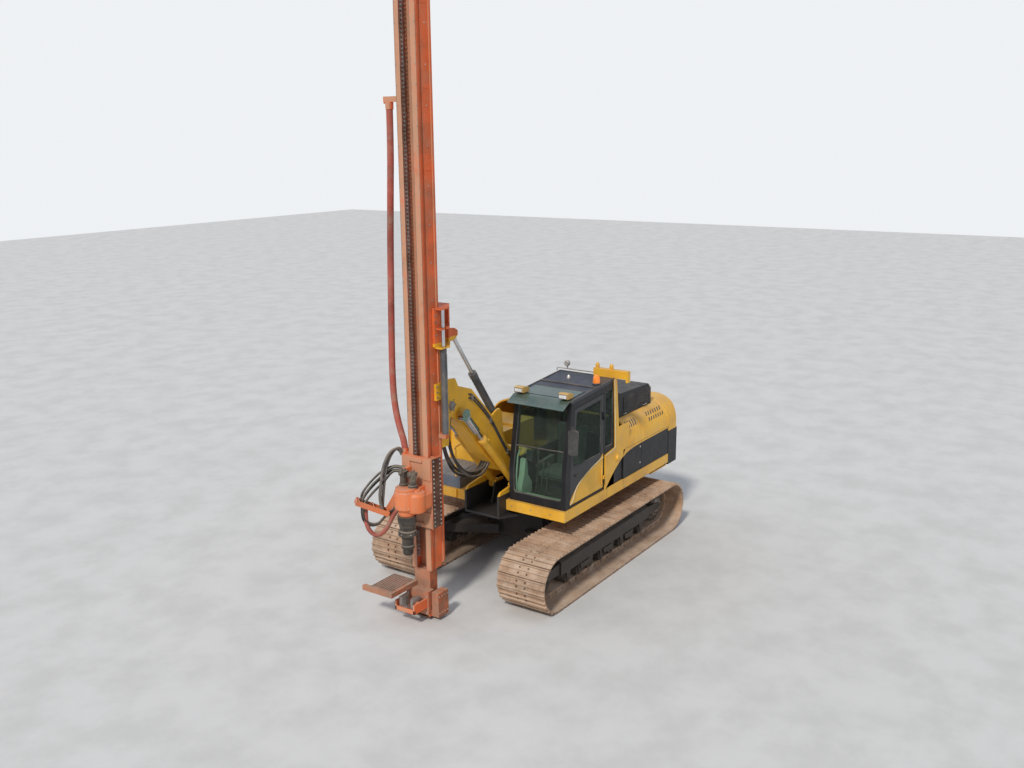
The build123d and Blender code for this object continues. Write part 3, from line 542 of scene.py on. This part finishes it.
Piece("roof_window", "house", "tinted_panel", edge=2).prism(
    [on_roof(x, y, 3) for x, y in ((640, 415), (1012, 415), (1012, 1258), (640, 1258))], (0, 0, 5))
Piece("sun_visor", "house", "tinted_panel", edge=2).plate(
    ((1030, 2916), (1142, 2912), (1312, 2818), (1308, 2810), (1140, 2902), (1030, 2906)), 352, 500, 840, 1180, 1322)
trim = Piece("roof_trim", "house", "black_plastic")
for y in (343, 1328):
    trim.tube([on_roof(x, y, 2) for x in (-190, 400, 1020)] + [(1108, y, 2896)], 11, 8)
trim.tube([(-193, 345, 3006), (-193, 1326, 3006)], 10, 8)
trim.tube([on_roof(385, y, 6) for y in (346, 1326)], 13, 8)
trim.tube([on_roof(628, y, 3) for y in (400, 1272)], 8, 8)
trim.lathe(on_roof(213, 1235, -2), Z, ((0, 66), (22, 66), (28, 58)), 24)
cap = Piece("roof_cap", "house", "bolt_steel")
cap.lathe(on_roof(111, 685, -2), Z, ((0, 34), (10, 34), (24, 26), (44, 22), (56, 10)))
cap.tube([on_roof(-180, 290), (-180, 290, 3042), (-180, 330, 3052), (-180, 1010, 3052), (-180, 1050, 3042),
          on_roof(-180, 1050)], 9, 8)
cap.lathe((-180, 483, 3050), Z, ((0, 12), (60, 12)), 10)
cap.lathe((-210, 483, 3140), X, ((0, 30), (14, 44), (60, 46), (66, 40)))
Piece("beacon_dome", "house", "amber_lens", sharp=50).lathe(
    on_roof(213, 1235, 20), Z, ((0, 56), (30, 55), (70, 52), (98, 46), (116, 34), (126, 18), (129, 2)), 24)
Piece("beacon_core", "house", "bolt_steel").lathe(
    on_roof(213, 1235, 20), Z, ((0, 24), (60, 24), (80, 14), (90, 4)), 12)

# Work lamps over the windscreen
housing = Piece("lamp_housings", "house", "tan_plastic", edge=6)
bezel = Piece("lamp_bezels", "house", "black_plastic")
lamp_glass = Piece("lamp_glasses", "house", "clear_lens", edge=3)
low = on_roof(987, 0, 18)[2]
for y in (450, 1215):
    housing.plate(((967, low), (1120, low), (1146, low + 10), (1150, low + 84), (1128, low + 97), (1060, low + 94),
                   (985, low + 74), (967, low + 50)), y - 75, y + 75)
    housing.tube([on_roof(1000, y, -2), (1000, y, low + 4)], 16, 8)
    bezel.tube([(1150, y - 66, low + 18), (1150, y + 66, low + 18), (1151, y + 66, low + 76),
                (1151, y - 66, low + 76), (1150, y - 66, low + 18)], 6, 6)
    lamp_glass.box((1144, y - 64, low + 18), (1154, y + 64, low + 76))

# Beam behind the cab
beam = Piece("guard_beam", "house", "yellow_paint", edge=4)
beam.box((-255, 960, 3000.5), (-165, 1560, 3128))
beam.box((-255, 1524, 2952), (-165, 1560, 3002))
for y in (1010, 1255):
    beam.lathe((-210, y, 3126), Z, ((0, 32), (58, 32), (64, 24), (78, 22), (82, 14)), 18)

# Mirror on a bent arm: rounded corners round its middle, as y and z
mirror_corners = []
for quarter, (sign_y, sign_z) in enumerate(((1, 1), (-1, 1), (-1, -1), (1, -1))):
    for step in range(5):
        angle = pi / 2 * (quarter + step / 4)
        mirror_corners.append((sign_y * 45 + 30 * cos(angle), sign_z * 155 + 30 * sin(angle)))


def mirror_ring(x, width, height):
    """The mirror's outline at x, in shares of its full width and height."""
    return [(x, 1500 + y * width, 2380 + z * height) for y, z in mirror_corners]


mirror = Piece("mirror_shell", "house", "black_plastic")
mirror.skin([mirror_ring(x, share, share) for x, share in ((1302, 0.72), (1316, 0.94), (1343, 1.0))])
mirror.tube(curved(((1100, 1326, 2500), (1112, 1390, 2500), (1200, 1490, 2505), (1306, 1500, 2500)), 6), 11)
mirror.box((1070, 1329, 2462), (1128, 1345, 2538))
Piece("mirror_face", "house", "bolt_steel").skin([mirror_ring(x, 0.88, 0.95) for x in (1301, 1303.5)])

# Raised edge along the swoosh and up the cab's rear corner, coloured cream as a painted highlight; handles, knob and
# locks
for name, body, y, line in (
    ("door_edge_highlight", "cab_door", 1331, ((1120, 1350), (1040, 1410), (925, 1580), (625, 1720), (308, 1800),
                                          (156, 1828))),
    ("body_edge_highlight", "house", 1352, ((112, 1838), (-100, 1868), (-185, 1910), (-190, 2065), (-146, 2998))),
):
    # The edge lines are cream as a painted highlight
    Piece(name, body, "cream_highlight").tube(curved([(x, y, z) for x, z in line]), 8, 8)
Piece("door_handle", "cab_door", "yellow_paint").tube(
    ((228, 1330, 1420), (228, 1352, 1430), (228, 1352, 1690), (228, 1330, 1700)), 8, 8)
latch = Piece("door_latch", "cab_door", "black_plastic")
latch.box((900, 1329, 1740), (980, 1340, 1775))
latch.tube(((910, 1336, 1757), (916, 1350, 1757), (972, 1350, 1757)), 8, 8)
latch.tube(((990, 1331, 1960), (985, 1352, 1975), (930, 1352, 2420), (925, 1331, 2440)), 9, 8)
Piece("body_knob", "house", "yellow_paint").lathe(
    (-264, 1350, 1712), Y, ((0, 60), (8, 60), (12, 46), (26, 42), (30, 34)), 24)
locks = Piece("body_locks", "door_left_front", "bolt_steel")
for z in (1420, 1690):
    locks.lathe((-1040, 1347, z), Y, ((0, 17), (5, 17), (7, 9)), 14)


# Seat and controls behind the glass
def cushion(name, centre, run, thick, half):
    """Crowned pad: its sides pull in between the corners, and two seams are pressed into its face."""
    run, thick = run.normalized(), thick.normalized()
    beside = run.cross(thick)
    mesh = bmesh.new()
    bmesh.ops.create_cube(mesh, size=2)
    bmesh.ops.subdivide_edges(mesh, edges=mesh.edges[:], cuts=15, use_grid_fill=True)
    for vert in mesh.verts:
        u, v, w = vert.co
        edge = max(abs(u), abs(v))
        seam = sum(max(0.0, 1 - abs(v - place) / 0.07) for place in (-0.42, 0.42)) * (abs(u) < 0.9)
        height = (0.42 + 0.58 * (1 - edge ** 6) ** 0.5 if edge < 1 else 0.42) - 0.1 * seam * (w > 0)
        pull = 1 - 0.05 * (1 - min(u * u, v * v))
        vert.co = centre + (run * u * half[0] * pull + beside * v * half[1] * pull
                            + thick * (w * height) * half[2]) / 1000
    made = smooth_object(name, mesh, "seat_cloth")
    smooth = made.modifiers.new("smooth", "SUBSURF")
    smooth.levels = smooth.render_levels = 1
    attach(made, "house")
    return made


back_run, back_thick = Vector((-0.07, 0, 0.7)), Vector((0.7, 0, 0.07))
base_pad = cushion("seat_base", at(548, 820, 1608), X, Z, (250, 258, 70))
cushion("seat_back", at(222, 820, 1955), back_run, back_thick, (340, 250, 62))
cushion("head_rest", at(180, 820, 2250), back_run, back_thick, (90, 130, 48))
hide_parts("seat")
seat_frame = Piece("seat_frame", "house", "black_plastic", edge=4)
seat_frame.box((420, 680, 1335), (640, 960, 1545))
seat_frame.box((300, 600, 1530), (780, 1040, 1552))
for y in (505, 1090):
    seat_frame.plate(((330, 1640), (760, 1640), (800, 1720), (700, 1770), (330, 1790)), y, y + 60)
    seat_frame.tube(curved(((740, y + 30, 1750), (748, y + 30, 1850), (742, y + 30, 1890)), 5), 12)
    seat_frame.lathe((742, y + 30, 1885), Z, ((0, 16), (20, 25), (70, 27), (90, 18)), 14)
for y in (700, 790, 880):
    seat_frame.tube(curved(((1050, y, 1335), (1060, y, 1500), (1010, y, 1760), (990, y, 1830)), 6), 9, 8)
    seat_frame.lathe((990, y, 1820), Z, ((0, 10), (10, 18), (50, 20), (62, 12)), 12)
    seat_frame.plate(((1060, 1336), (1180, 1390), (1186, 1382), (1070, 1330)), y - 40, y + 30)
console = Piece("side_console", "house", "pale_green", edge=8)
console.plate(((900, 1345), (1170, 1345), (1185, 1500), (1120, 1660), (1080, 1900), (1030, 1905), (1010, 1650),
               (900, 1500)), 425, 440, 505, 520)
console.tube(((1188, 430, 1345), (1188, 430, 1700), (1150, 430, 1960), (1090, 430, 2050)), 14, 8)
console.box((1080, 540, 1338), (1200, 1230, 1392))
Piece("monitor", "house", "black_plastic", edge=5).prism(
    ((1040, 520, 1880), (1062, 640, 1880), (1040, 640, 2050), (1018, 520, 2050)), (30, 0, 6))


# Engine cover: black slabs at the air slots, painted shade of the openings; raised bands, panel and arch under them,
# lid grille and handles
def shroud_y(z):
    """Half width of the cover: upright sides, then a quarter round."""
    return 1352 if z < 1830 else 932 + (420 ** 2 - (z - 1830) ** 2) ** 0.5


# Thin black slabs in the cover's face stand for the slots: painted shade of the openings
slot_shades = Piece("air_slot_shades", "house", "black_plastic")
slot_rows = [(-700 - 72 * number, 2060, 90) for number in range(5)]
slot_rows += [(-1420 - 80 * number, low, 50) for number in range(7) for low in (2020, 2100)]
for side in both:
    for front, low, height in slot_rows:
        rows = [(front - 10 * step, low + height * step / 4) for step in range(5)]
        slot_shades.skin([[(x - back, side * (shroud_y(z) + out), z)
                     for back, out in ((0, 1.5), (34, 1.5), (34, -6), (0, -6))] for x, z in rows])
band = Piece("cover_band", "house", "yellow_paint")
quarter = [(932 + 420 * cos(pi * step / 16), 1830 + 420 * sin(pi * step / 16)) for step in range(8, -1, -1)]
quarter.append((1352, 1800))
for x in (-655, -2050):
    band.tube([(x, -y, z) for y, z in reversed(quarter)] + [(x, y, z) for y, z in quarter], 9, 8)
band.tube([(-1130, y, z) for y, z in quarter], 8, 8)
Piece("arch_panel", "house", "black_paint").box((-467, 1321, 1296), (112, 1330, 1785))
for body, arch in (
    ("door_left_front", ((-470, 1676), (-560, 1706), (-680, 1728), (-860, 1744), (-1075, 1752), (-1075, 1784),
                         (-530, 1784), (-470, 1690))),
    ("door_left_rear", ((-1085, 1752), (-2060, 1760), (-2060, 1784), (-1085, 1784))),
):
    Piece(body + "_arch", body, "yellow_paint").plate(arch, 1348, 1350.5)
grille = Piece("lid_grille", "engine_lid", "black_plastic", edge=2)
for z in range(2300, 2520, 20):
    grille.box((-1780, 1109, z), (-900, 1117, z + 9))
for x in (-1790, -1340, -900):
    grille.box((x, 1109, 2290), (x + 12, 1119, 2520))
grips = Piece("lid_handles", "engine_lid", "bolt_steel")
for x in (-1650, -950):
    grips.tube(((x, 1110, 2250), (x, 1138, 2250), (x + 90, 1138, 2250), (x + 90, 1110, 2250)), 7, 8)

# Right side: handrails, tank caps and latches, step grips and bracket
rails = Piece("hand_rails", "house", "yellow_paint")
rails.tube(curved([(x, -1318, z) for x, z in (
    (560, 1480), (562, 2010), (530, 2090), (450, 2100), (-560, 2120), (-600, 2090), (-604, 2020))], 4), 16)
rails.tube([(-80, -1318, 1980), (-80, -1318, 2112)], 14, 8)
rails.tube(curved([(x, -640, z) for x, z in (
    (1290, 1480), (1290, 1900), (1260, 1960), (640, 2000), (560, 1985), (545, 1975))], 4), 14, 8)
fittings = Piece("tank_fittings", "house", "black_plastic", edge=3)
fittings.lathe((300, -1150, 1979), Z, ((0, 70), (12, 70), (14, 62), (46, 60), (52, 50)), 20)
fittings.lathe((-350, -1150, 2019), Z, ((0, 55), (10, 55), (12, 46), (40, 44), (46, 36)), 20)
for x in (600, 1240):
    fittings.box((x, -1353, 1378), (x + 46, -1343, 1422))
fittings.box((568, -1352, 1462), (1292, -1344, 1470))
studs = Piece("grip_plates", "house", "worn_steel")
for x in range(590, 1286, 58):
    for y in range(-1280, -500, 130):
        studs.lathe((x, y, 1479), Z, ((0, 17), (5, 16), (7, 9)), 8)
bracket = Piece("step_bracket", "house", "yellow_paint", edge=3)
bracket.box((1310, -1000, 1160), (1345, -600, 1290))
bracket.box((1345, -1000, 1160), (1352, -600, 1180))

# Skirt: bolts and plate joints
skirt_bolts = Piece("skirt_bolts", "house", "bolt_steel")
for side in both:
    skirt_bolts.bolts([(x, side * 1352, 1165) for x in range(-1950, 1300, 360)], Y * side, 11)
    skirt_bolts.bolts([(1310, side * y, 1215) for y in (420, 760, 1100)], X, 11)
seams = Piece("panel_seams", "house", "black_plastic")
for x in (-470, 60):
    seams.box((x, 1350, 1150), (x + 5, 1353, 1292))

# Counterweight: lifting eyes and rear lamps
tail = Piece("tail_fittings", "house", "worn_steel")
for y in (-600, 600):
    tail.tube(curved([(-2480, y + across, z) for across, z in (
        (-60, 1698), (-55, 1760), (0, 1785), (55, 1760), (60, 1698))], 5), 16)
tail_lamps = Piece("tail_lamps", "house", "amber_lens")
tail_radius = 2750
for y in (-1180, 1180):
    reach = (tail_radius ** 2 - y * y) ** 0.5
    tail_lamps.lathe((2 - reach, y, 1560), (-1, y / tail_radius, 0), ((0, 46), (8, 46), (14, 38), (16, 10)), 18)

# Tracks: shoe bolts, link pins, roller and hub bolts
tumbler_span, track_radius, plate_radius, shoe_count = 3650, 430, 392, 51
half_loop = tumbler_span + pi * plate_radius
shoe_pitch = 2 * half_loop / shoe_count


def on_track(distance, height):
    """Place in side view, and the outward direction, on the shoe loop; the same course as the solid."""
    upper, along = divmod(distance % (2 * half_loop), half_loop)
    sign = 1 if upper else -1
    angle = max(0, along - tumbler_span) / plate_radius
    reach = plate_radius + height
    x = min(along, tumbler_span) - tumbler_span / 2 + reach * sin(angle)
    return sign * x, track_radius + sign * reach * cos(angle), sign * sin(angle), sign * cos(angle)


for side_name, side in (("left", 1), ("right", -1)):
    y_mid, out = side * 1190, Y * side
    bolts = Piece("shoe_bolts_" + side_name, "undercarriage", "rusty_steel")
    pins = Piece("link_pins_" + side_name, "undercarriage", "worn_steel")
    for number in range(shoe_count):
        for share in (0.29, 0.71):
            x, z, out_x, out_z = on_track((number + share) * shoe_pitch, 13.5)
            for y in (-72, 72):
                bolts.lathe((x, y_mid + y, z), (out_x, 0, out_z), ((0, 15), (9, 15), (11, 12)), 6)
        for share, head, sides in ((0, ((0, 27), (5, 27), (6, 16), (7, 16)), 12), (0.5, ((0, 15), (3, 14)), 8)):
            x, z, _, _ = on_track((number + share) * shoe_pitch, -50)
            for reach in both:
                pins.lathe((x, y_mid + reach * 94, z), Y * reach, head, sides)
    hubs = Piece("hub_bolts_" + side_name, "undercarriage", "worn_steel")
    hubs.bolt_circle((-1825, side * 1265, 430), out, 165, 12, 13)
    hubs.bolt_circle((1825, side * 1276.7, 430), out, 70, 12, 8)
    hubs.lathe((-1825, side * 1265, 430), out, ((0, 130), (18, 126), (30, 112), (42, 60), (46, 20)), 28)
    for number in range(8):
        hubs.lathe(((number - 3.5) * 330, side * 1310, 217), out, ((0, 44), (8, 42), (14, 24), (18, 22)))
    guards = Piece("track_guards_" + side_name, "undercarriage", "black_paint", edge=3)
    for reach in both:
        for x in (-700, 0, 700):
            guards.plate(((x - 150, 330), (x + 150, 330), (x + 120, 240), (x - 120, 240)),
                         y_mid + reach * 151, y_mid + reach * 163)

# Boom and carrier: steel pipes with clamps, pin caps and bolts, cylinder glands with their pipes
pipes = Piece("boom_pipes", "boom", "black_plastic")
clamps = Piece("boom_clamps", "boom", "worn_steel", edge=3)
caps = Piece("pin_caps", "boom", "yellow_paint")
carrier_caps = Piece("carrier_caps", "carrier", "worn_steel")
for side in both:
    out = Y * side
    for y, drop in ((134, 40), (142, 96)):
        pipes.tube(curved([(x, side * y, z - drop) for x, z in (
            (700, 1850), (1000, 2020), (1430, 2620), (1820, 3020), (1950, 3088))], 6), 13, 8)
    for x, z in ((1000, 1950), (1430, 2540), (1880, 2985)):
        clamps.box((x - 22, side * 129, z - 45), (x + 22, side * 160, z + 35))
    caps.lathe((550, side * 334, 1750), out, ((-2, 78), (8, 78), (10, 60), (14, 56)), 22)
    caps.bolts([(550, side * 346, 1750)], out, 14)
    carrier_caps.lathe((2380, side * 168, 2975), out, ((-4, 70), (6, 70), (8, 52), (20, 50), (24, 40)), 22)
    carrier_caps.bolt_circle((2380, side * 165, 2975), out, 92, 6, 10)
    carrier_caps.bolts([(x, side * 198, z) for z in (3170, 3245, 3320, 4030, 4120, 4210, 4300, 4390)
                        for x in (2716, 2742)], out, 10)
glands = Piece("lift_glands", "lift_barrels", "yellow_paint")
for y in (-215, 215):
    foot = at(860, y, 1345)
    axis = (at(2165, y, 2800) - foot).normalized()
    across = axis.cross(Y)
    glands.lathe(foot + axis * 1.27, axis, ((0, 66), (60, 68), (62, 58), (82, 58), (85, 50)), 24)
    glands.lathe(foot + axis * 1.2, across, ((40, 24), (84, 24), (88, 18)), 12)
    glands.tube([foot + axis * reach + across * 0.074 for reach in (0.2, 1.19)], 13, 8)
foot = at(1170, 0, 2580)
axis = (at(2220, 0, 4010) - foot).normalized()
Piece("tilt_gland", "tilt_barrel", "grey_paint").tube(
    [foot + axis * reach + Y * 0.066 for reach in (0.15, 0.78)], 11, 8)

# Feed chain of link plates and rollers in place of its plain bar
chain_x, chain_y, chain_foot, chain_pitch, link_count = 2904, -72, 880, 52, 198
link_side = ((-9, -14), (9, -14), (16, 0), (11, 26), (16, 52), (9, 66), (-9, 66), (-16, 52), (-11, 26), (-16, 0))
chain = Piece("chain_links", "mast", "worn_steel", stands_for="feed_chain")
for number in range(link_count):
    z = chain_foot + chain_pitch * number
    chain.lathe((chain_x, chain_y - 19, z), Y, ((0, 7), (38, 7)), 6)
    chain.lathe((chain_x, chain_y - 9, z), Y, ((0, 13), (18, 13)), 8)
    reach = 16 if number % 2 else 11
    for side in both:
        chain.plate([(chain_x + across, z + up) for across, up in link_side],
                    chain_y + side * reach, chain_y + side * (reach + 4))

# Mast: edge strips, weld beads, bolts, collars of the slide cylinders
strips = Piece("mast_strips", "mast", "worn_steel")
for y in (-171, 169):
    strips.box((2925, y, 705), (2939, y + 3, 11295))
for y in (-93, 82):
    strips.box((2930, y - 1, 720), (2939, y + 3, 11280))
welds = Piece("mast_welds", "mast", "orange_paint")
mast_bolts = Piece("mast_bolts", "mast", "bolt_steel")
collars = Piece("slide_collars", "mast", "grey_paint")
for side in both:
    for z in range(1100, 11300, 1020):
        welds.tube([(2700, side * 155, z), (2815, side * 155, z)], 5, 6)
        welds.box((2668, side * 154 - 1, z - 60), (2816, side * 154 + 2, z - 52))
    for z in (706, 11291):
        welds.tube([(2630, side * 172, z), (2665, side * 172, z)], 6, 6)
    mast_bolts.bolts([(2937, side * 157, z) for z in range(1250, 11250, 250)], X, 8)
    mast_bolts.bolts([(2740, side * 155, z) for z in range(1500, 11250, 500)], Y * side, 10)
    for z in (2655, 3060, 3440, 3800):
        collars.lathe((2645, side * 250, z), Z, ((0, 46), (36, 46), (40, 42)), 18)
    collars.tube([(2645, side * y, z) for y, z in ((294, 2700), (303, 2740), (303, 3760), (294, 3800))], 9, 8)

# Crown: side plates with the sheaves between them; clamps of the hose hanger
crown = Piece("crown_plates", "mast", "orange_paint", edge=4, stands_for="mast_crown")
crown.box((2609, -210, 11300), (2997, 210, 11326))
for y in (-206, -70, 50, 186):
    crown.plate(((2619, 11320), (2977, 11320), (2957, 11390), (2869, 11498), (2719, 11498), (2619, 11410)), y, y + 20)
sheaves = Piece("crown_sheaves", "mast", "worn_steel")
for y in (-150, 110):
    sheaves.lathe((2799, y, 11416), Y, ((0, 78), (6, 78), (12, 66), (28, 66), (34, 78), (40, 78)), 28)
sheaves.lathe((2799, -209, 11416), Y, ((0, 30), (418, 30)))
hanger = Piece("hanger_clamps", "mast", "orange_paint", edge=3)
hanger.lathe((2720, -480, 6965), Z, ((0, 52), (60, 54), (95, 54)), 20)
hanger.plate(((2692, 7062), (2748, 7062), (2748, 6900), (2692, 6950)), -160, -180)
hanger.plate(((2692, 7100), (2748, 7100), (2748, 7040), (2692, 7040)), -540, -558)

# Drill head: gear case with its side plates in place of the plain form, hose guide, motors, bolts, carriage plates
head = Piece("gearbox", "head", "head_paint", edge=5, stands_for="rotary_drive")
head.lathe((3220, 0, 1600), Z, ((0, 106), (10, 112), (70, 114), (100, 150), (112, 164), (340, 164), (350, 160),
                                (356, 148), (398, 146), (400, 140)), 40)
head.box((2983, -125, 1700), (3210, 125, 1965))
for y in (-140, 120):
    head.plate(((2984, 1602), (3080, 1690), (3200, 1720), (3200, 1950), (3060, 1985), (2984, 1985)), y, y + 20)
head.box((2990, -150, 1960), (3100, -90, 2215))
head.lathe((3165, 128, 0), Z, ((1655, 1), (1655, 108), (1668, 128), (1700, 140), (1905, 140), (1918, 128),
                               (1940, 122), (1948, 60), (1975, 56), (1975, 1)), 32)
head.box((2990, 40, 1700), (3170, 262, 1900))
channel = Piece("guide_channel", "head", "head_paint", edge=2)
whole, far_end = (0, 0.33, 0.66, 1), (0.985, 1)
for left, right, low, high, shares in ((-82, 82, 0, 8, whole), (-82, -74, 6, 75, whole), (74, 82, 6, 75, whole),
                                       (-82, 82, 0, 75, far_end)):
    channel.skin([[on_guide(share, *corner) for corner in ((left, low), (right, low), (right, high), (left, high))]
                  for share in shares])
for share in (0.05, 0.5, 0.95):
    channel.tube([on_guide(share, across, 76) for across in (-80, 80)], 9, 8)
channel.prism([(3190, y, z) for y, z in ((-158, 1765), (-158, 1855), (-230, 1855), (-400, 1600), (-400, 1510),
                                         (-300, 1510), (-200, 1765))], (28, 0, 0))
motors = Piece("drive_motors", "head", "dark_steel", edge=4)
for y in (-78, 78):
    motors.lathe((3170, y, 1998), Z, ((0, 66), (30, 66), (34, 52), (130, 50), (134, 56), (150, 56)), 24)
    motors.box((3118, y - 50, 2148), (3222, y + 50, 2206))
    for x in (3140, 3200):
        motors.lathe((x, y, 2200), Z, ((0, 18), (14, 18), (16, 14), (34, 14)), 8)
    motors.lathe((3222, y, 2178), X, ((0, 20), (16, 20), (18, 15), (40, 15)), 8)
head_bolts = Piece("head_bolts", "head", "bolt_steel")
head_bolts.bolt_circle((3220, 0, 1950), Z, 152, 14, 10)
head_bolts.studs((3220, 0, 1740), 163, [pi * (step - 4.5) / 9 for step in range(10)], 8)
for side in both:
    head_bolts.bolts([(x, side * 268, z) for z in range(1400, 2350, 62) for x in (2812, 2950)], Y * side, 13)
head_bolts.bolts([(2983, y, z) for y in (-225, -190, 190, 225) for z in (1410, 1480, 1550, 2130, 2210, 2290)], X, 12)
head_bolts.bolt_circle((3165, 128, 1940), Z, 92, 14, 9)
for port_x, port_z, *_ in loop_rows:
    head_bolts.lathe((port_x, -149, port_z), -Y, ((0, 20), (14, 20), (16, 16), (46, 16), (48, 14)), 8)
cheeks = Piece("carriage_cheeks", "head", "rusty_steel", edge=2)
for y in (-268, 262):
    cheeks.plate(((2784, 1372), (2978, 1364), (2978, 2366), (2784, 2358)), y, y + 6)
plates = Piece("carriage_plates", "head", "orange_paint", edge=4)
for low, high, bar in ((1370, 1590, 1370), (2060, 2360, 2300)):
    for y in (-250, 110):
        plates.box((2983, y, low), (2997, y + 140, high))
    plates.box((2983, -110, bar), (3008, 110, bar + 60))
plates.box((2815, -345, 2340), (2932, -255, 2362))
plates.lathe((2872, -290, 2358), Z, ((0, 54), (10, 54), (12, 50), (60, 49)), 22)
elbow = Piece("sleeve_elbow", "head", "dark_steel")
for number in range(5):
    start = at(2872 + 24 * cos(number * 1.25), -300 + 24 * sin(number * 1.25), 2345)
    elbow.tube([start, start - Z * 0.05, (2935, -290, 2265 - 12 * number), (2990, -205, 2200 - 20 * number),
                (2998 + 8 * number, -150, 2190 - 28 * number)], 12, 8)
pads = Piece("side_pads", "head", "worn_steel")
for z in (1385, 2215):
    for y in (-264, 255):
        pads.box((2860, y, z), (2925, y + 9, z + 130))

# Spindle: turned flange, neck and chuck with its open socket, in place of the plain one
turned = Piece("turned_spindle", "spindle", "dark_steel", sharp=25, stands_for="spindle")
turned.lathe((3220, 0, 0), Z, ((1170, 1), (1170, 45), (1030, 45), (1030, 66), (1044, 72), (1110, 72), (1124, 92),
                               (1160, 92), (1172, 78), (1300, 84), (1312, 128), (1378, 128), (1392, 104),
                               (1480, 116), (1496, 130), (1594, 130), (1594, 50), (1640, 50)), 36)
chuck = Piece("chuck_bolts", "spindle", "bolt_steel")
chuck.bolt_circle((3220, 0, 1496), -Z, 118, 12, 8)
chuck.studs((3220, 0, 1345), 127, [pi / 3 * step for step in range(6)], 9)

# Mast foot: rod clamp with its jaws, table grating and bolts
clamp = Piece("rod_clamp", "mast", "orange_paint", edge=4)
jaws = Piece("clamp_jaws", "mast", "worn_steel", edge=2)
for side in both:
    clamp.box((3058, side * 146, 200), (3340, side * 176, 340))
    clamp.lathe((3220, side * 122, 300), Y * side, ((0, 44), (24, 48), (30, 48)), 20)
    jaws.prism([(x, side * y, 236) for x, y in ((3130, 122), (3310, 122), (3310, 82), (3262, 58), (3178, 58),
                                                (3130, 82))], (0, 0, 160))
    for z in range(246, 396, 25):
        jaws.box((3182, side * 58, z), (3258, side * 51, z + 10))
clamp.box((3315, -176, 200), (3340, 176, 260))
clamp.box((2990, -205, 60), (3060, 205, 90))
grating = Piece("table_grating", "mast", "worn_steel")
for y in range(-505, -127, 42):
    grating.box((2960, y, 505), (3440, y + 6, 513))
for x in range(2965, 3485, 52):
    grating.box((x, -515, 505), (x + 6, -135, 511))
foot_bolts = Piece("foot_bolts", "mast", "bolt_steel")
foot_bolts.bolts([(3060, y, z) for z in (120, 200, 280, 360) for y in (-160, 160)], X, 12)
foot_bolts.bolts([(x, 330, z) for x in (2800, 2860, 2920, 2980) for z in (120, 370)], Y, 11)

for piece in pieces:
    piece.done()

# Worn long edges of the solids
edge_widths = dict(
    cab=6, cab_door=4, deck=8, counterweight=14, engine_lid=22, boom=8, side_body=3, tanks=14, tool_box=8, mast_foot=5,
    head_carriage=5, mast_carrier=4, upper_frame=5, track_frame_left=8, track_frame_right=8, cab_roof=8,
    engine_shroud=3, hose_hanger=6)
for name, width in edge_widths.items():
    worn_edge(nodes[name], width, 40)

# Stage
span = 60.0
floor_mesh = bpy.data.meshes.new("floor")
floor_mesh.from_pydata([(-span, -span, 0), (span, -span, 0), (span, span, 0), (-span, span, 0)], [], [(0, 1, 2, 3)])
floor = linked("floor", floor_mesh)
ground, tree, shader, place = new_material("floor")
worn_share = ramp(tree, noise(tree, place, 1.3, 8.0), 0.35, 0.7)
filled(tree, shader, {"Base Color": mixed(tree, worn_share, (0.62, 0.61, 0.59), (0.55, 0.54, 0.52)),
                      "Roughness": 0.9})
floor_mesh.materials.append(ground)
floor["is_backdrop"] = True

# Light: a pale blue sky that the camera sees as plain grey, and two suns
world = bpy.data.worlds.new("studio")
scene.world = world
world.use_nodes = True
tree = world.node_tree
sky = filled(tree, tree.nodes["Background"], {"Color": (0.80, 0.87, 1.0, 1), "Strength": 0.55})
plain = node(tree, "Background", {"Color": (0.86, 0.88, 0.9, 1), "Strength": 1.0})
seen = node(tree, "LightPath", {}, "Is Camera Ray")
joined = node(tree, "MixShader", {0: seen, 1: sky.outputs[0], 2: plain})
filled(tree, tree.nodes["World Output"], {0: joined})
# Direction, strength, apparent size in radians, colour
for name, towards, energy, angle, colour in (("key", (-0.62, -0.15, -0.62), 2.3, 0.12, (1.0, 0.96, 0.9)),
                                             ("fill", (-0.2, 0.9, -0.6), 0.5, 1.2, (0.85, 0.92, 1.0))):
    lamp = bpy.data.lights.new(name, "SUN")
    lamp.energy = energy
    lamp.angle = angle
    lamp.color = colour
    sun = linked(name, lamp)
    sun.rotation_mode = "QUATERNION"
    sun.rotation_quaternion = Vector(towards).to_track_quat("-Z", "Y")

# Camera as fitted to the picture: focal length in pixels, place from the slewing axis, angles in degrees
focal_pixels, image_width, sensor_width = 1015.5, 1024, 36
camera_place = (13.149 + slew_x, 8.612, 6.601)
pitch, yaw, roll = radians(13.67), radians(34.59), radians(-0.58)
camera_lens = bpy.data.cameras.new("camera")
camera_lens.sensor_width = sensor_width
camera_lens.lens = focal_pixels / image_width * sensor_width
camera = linked("camera", camera_lens)
flat = Vector((-cos(yaw), -sin(yaw), 0))
right = Vector((flat.y, -flat.x, 0))
forward = flat * cos(pitch) - Z * sin(pitch)
upward = right.cross(forward)
camera_right = right * cos(roll) + upward * sin(roll)
camera_up = upward * cos(roll) - right * sin(roll)
turn = Matrix((camera_right, camera_up, -forward)).transposed()
camera.matrix_world = Matrix.Translation(camera_place) @ turn.to_4x4()
scene.camera = camera
scene.view_settings.view_transform = "Standard"

low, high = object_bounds()
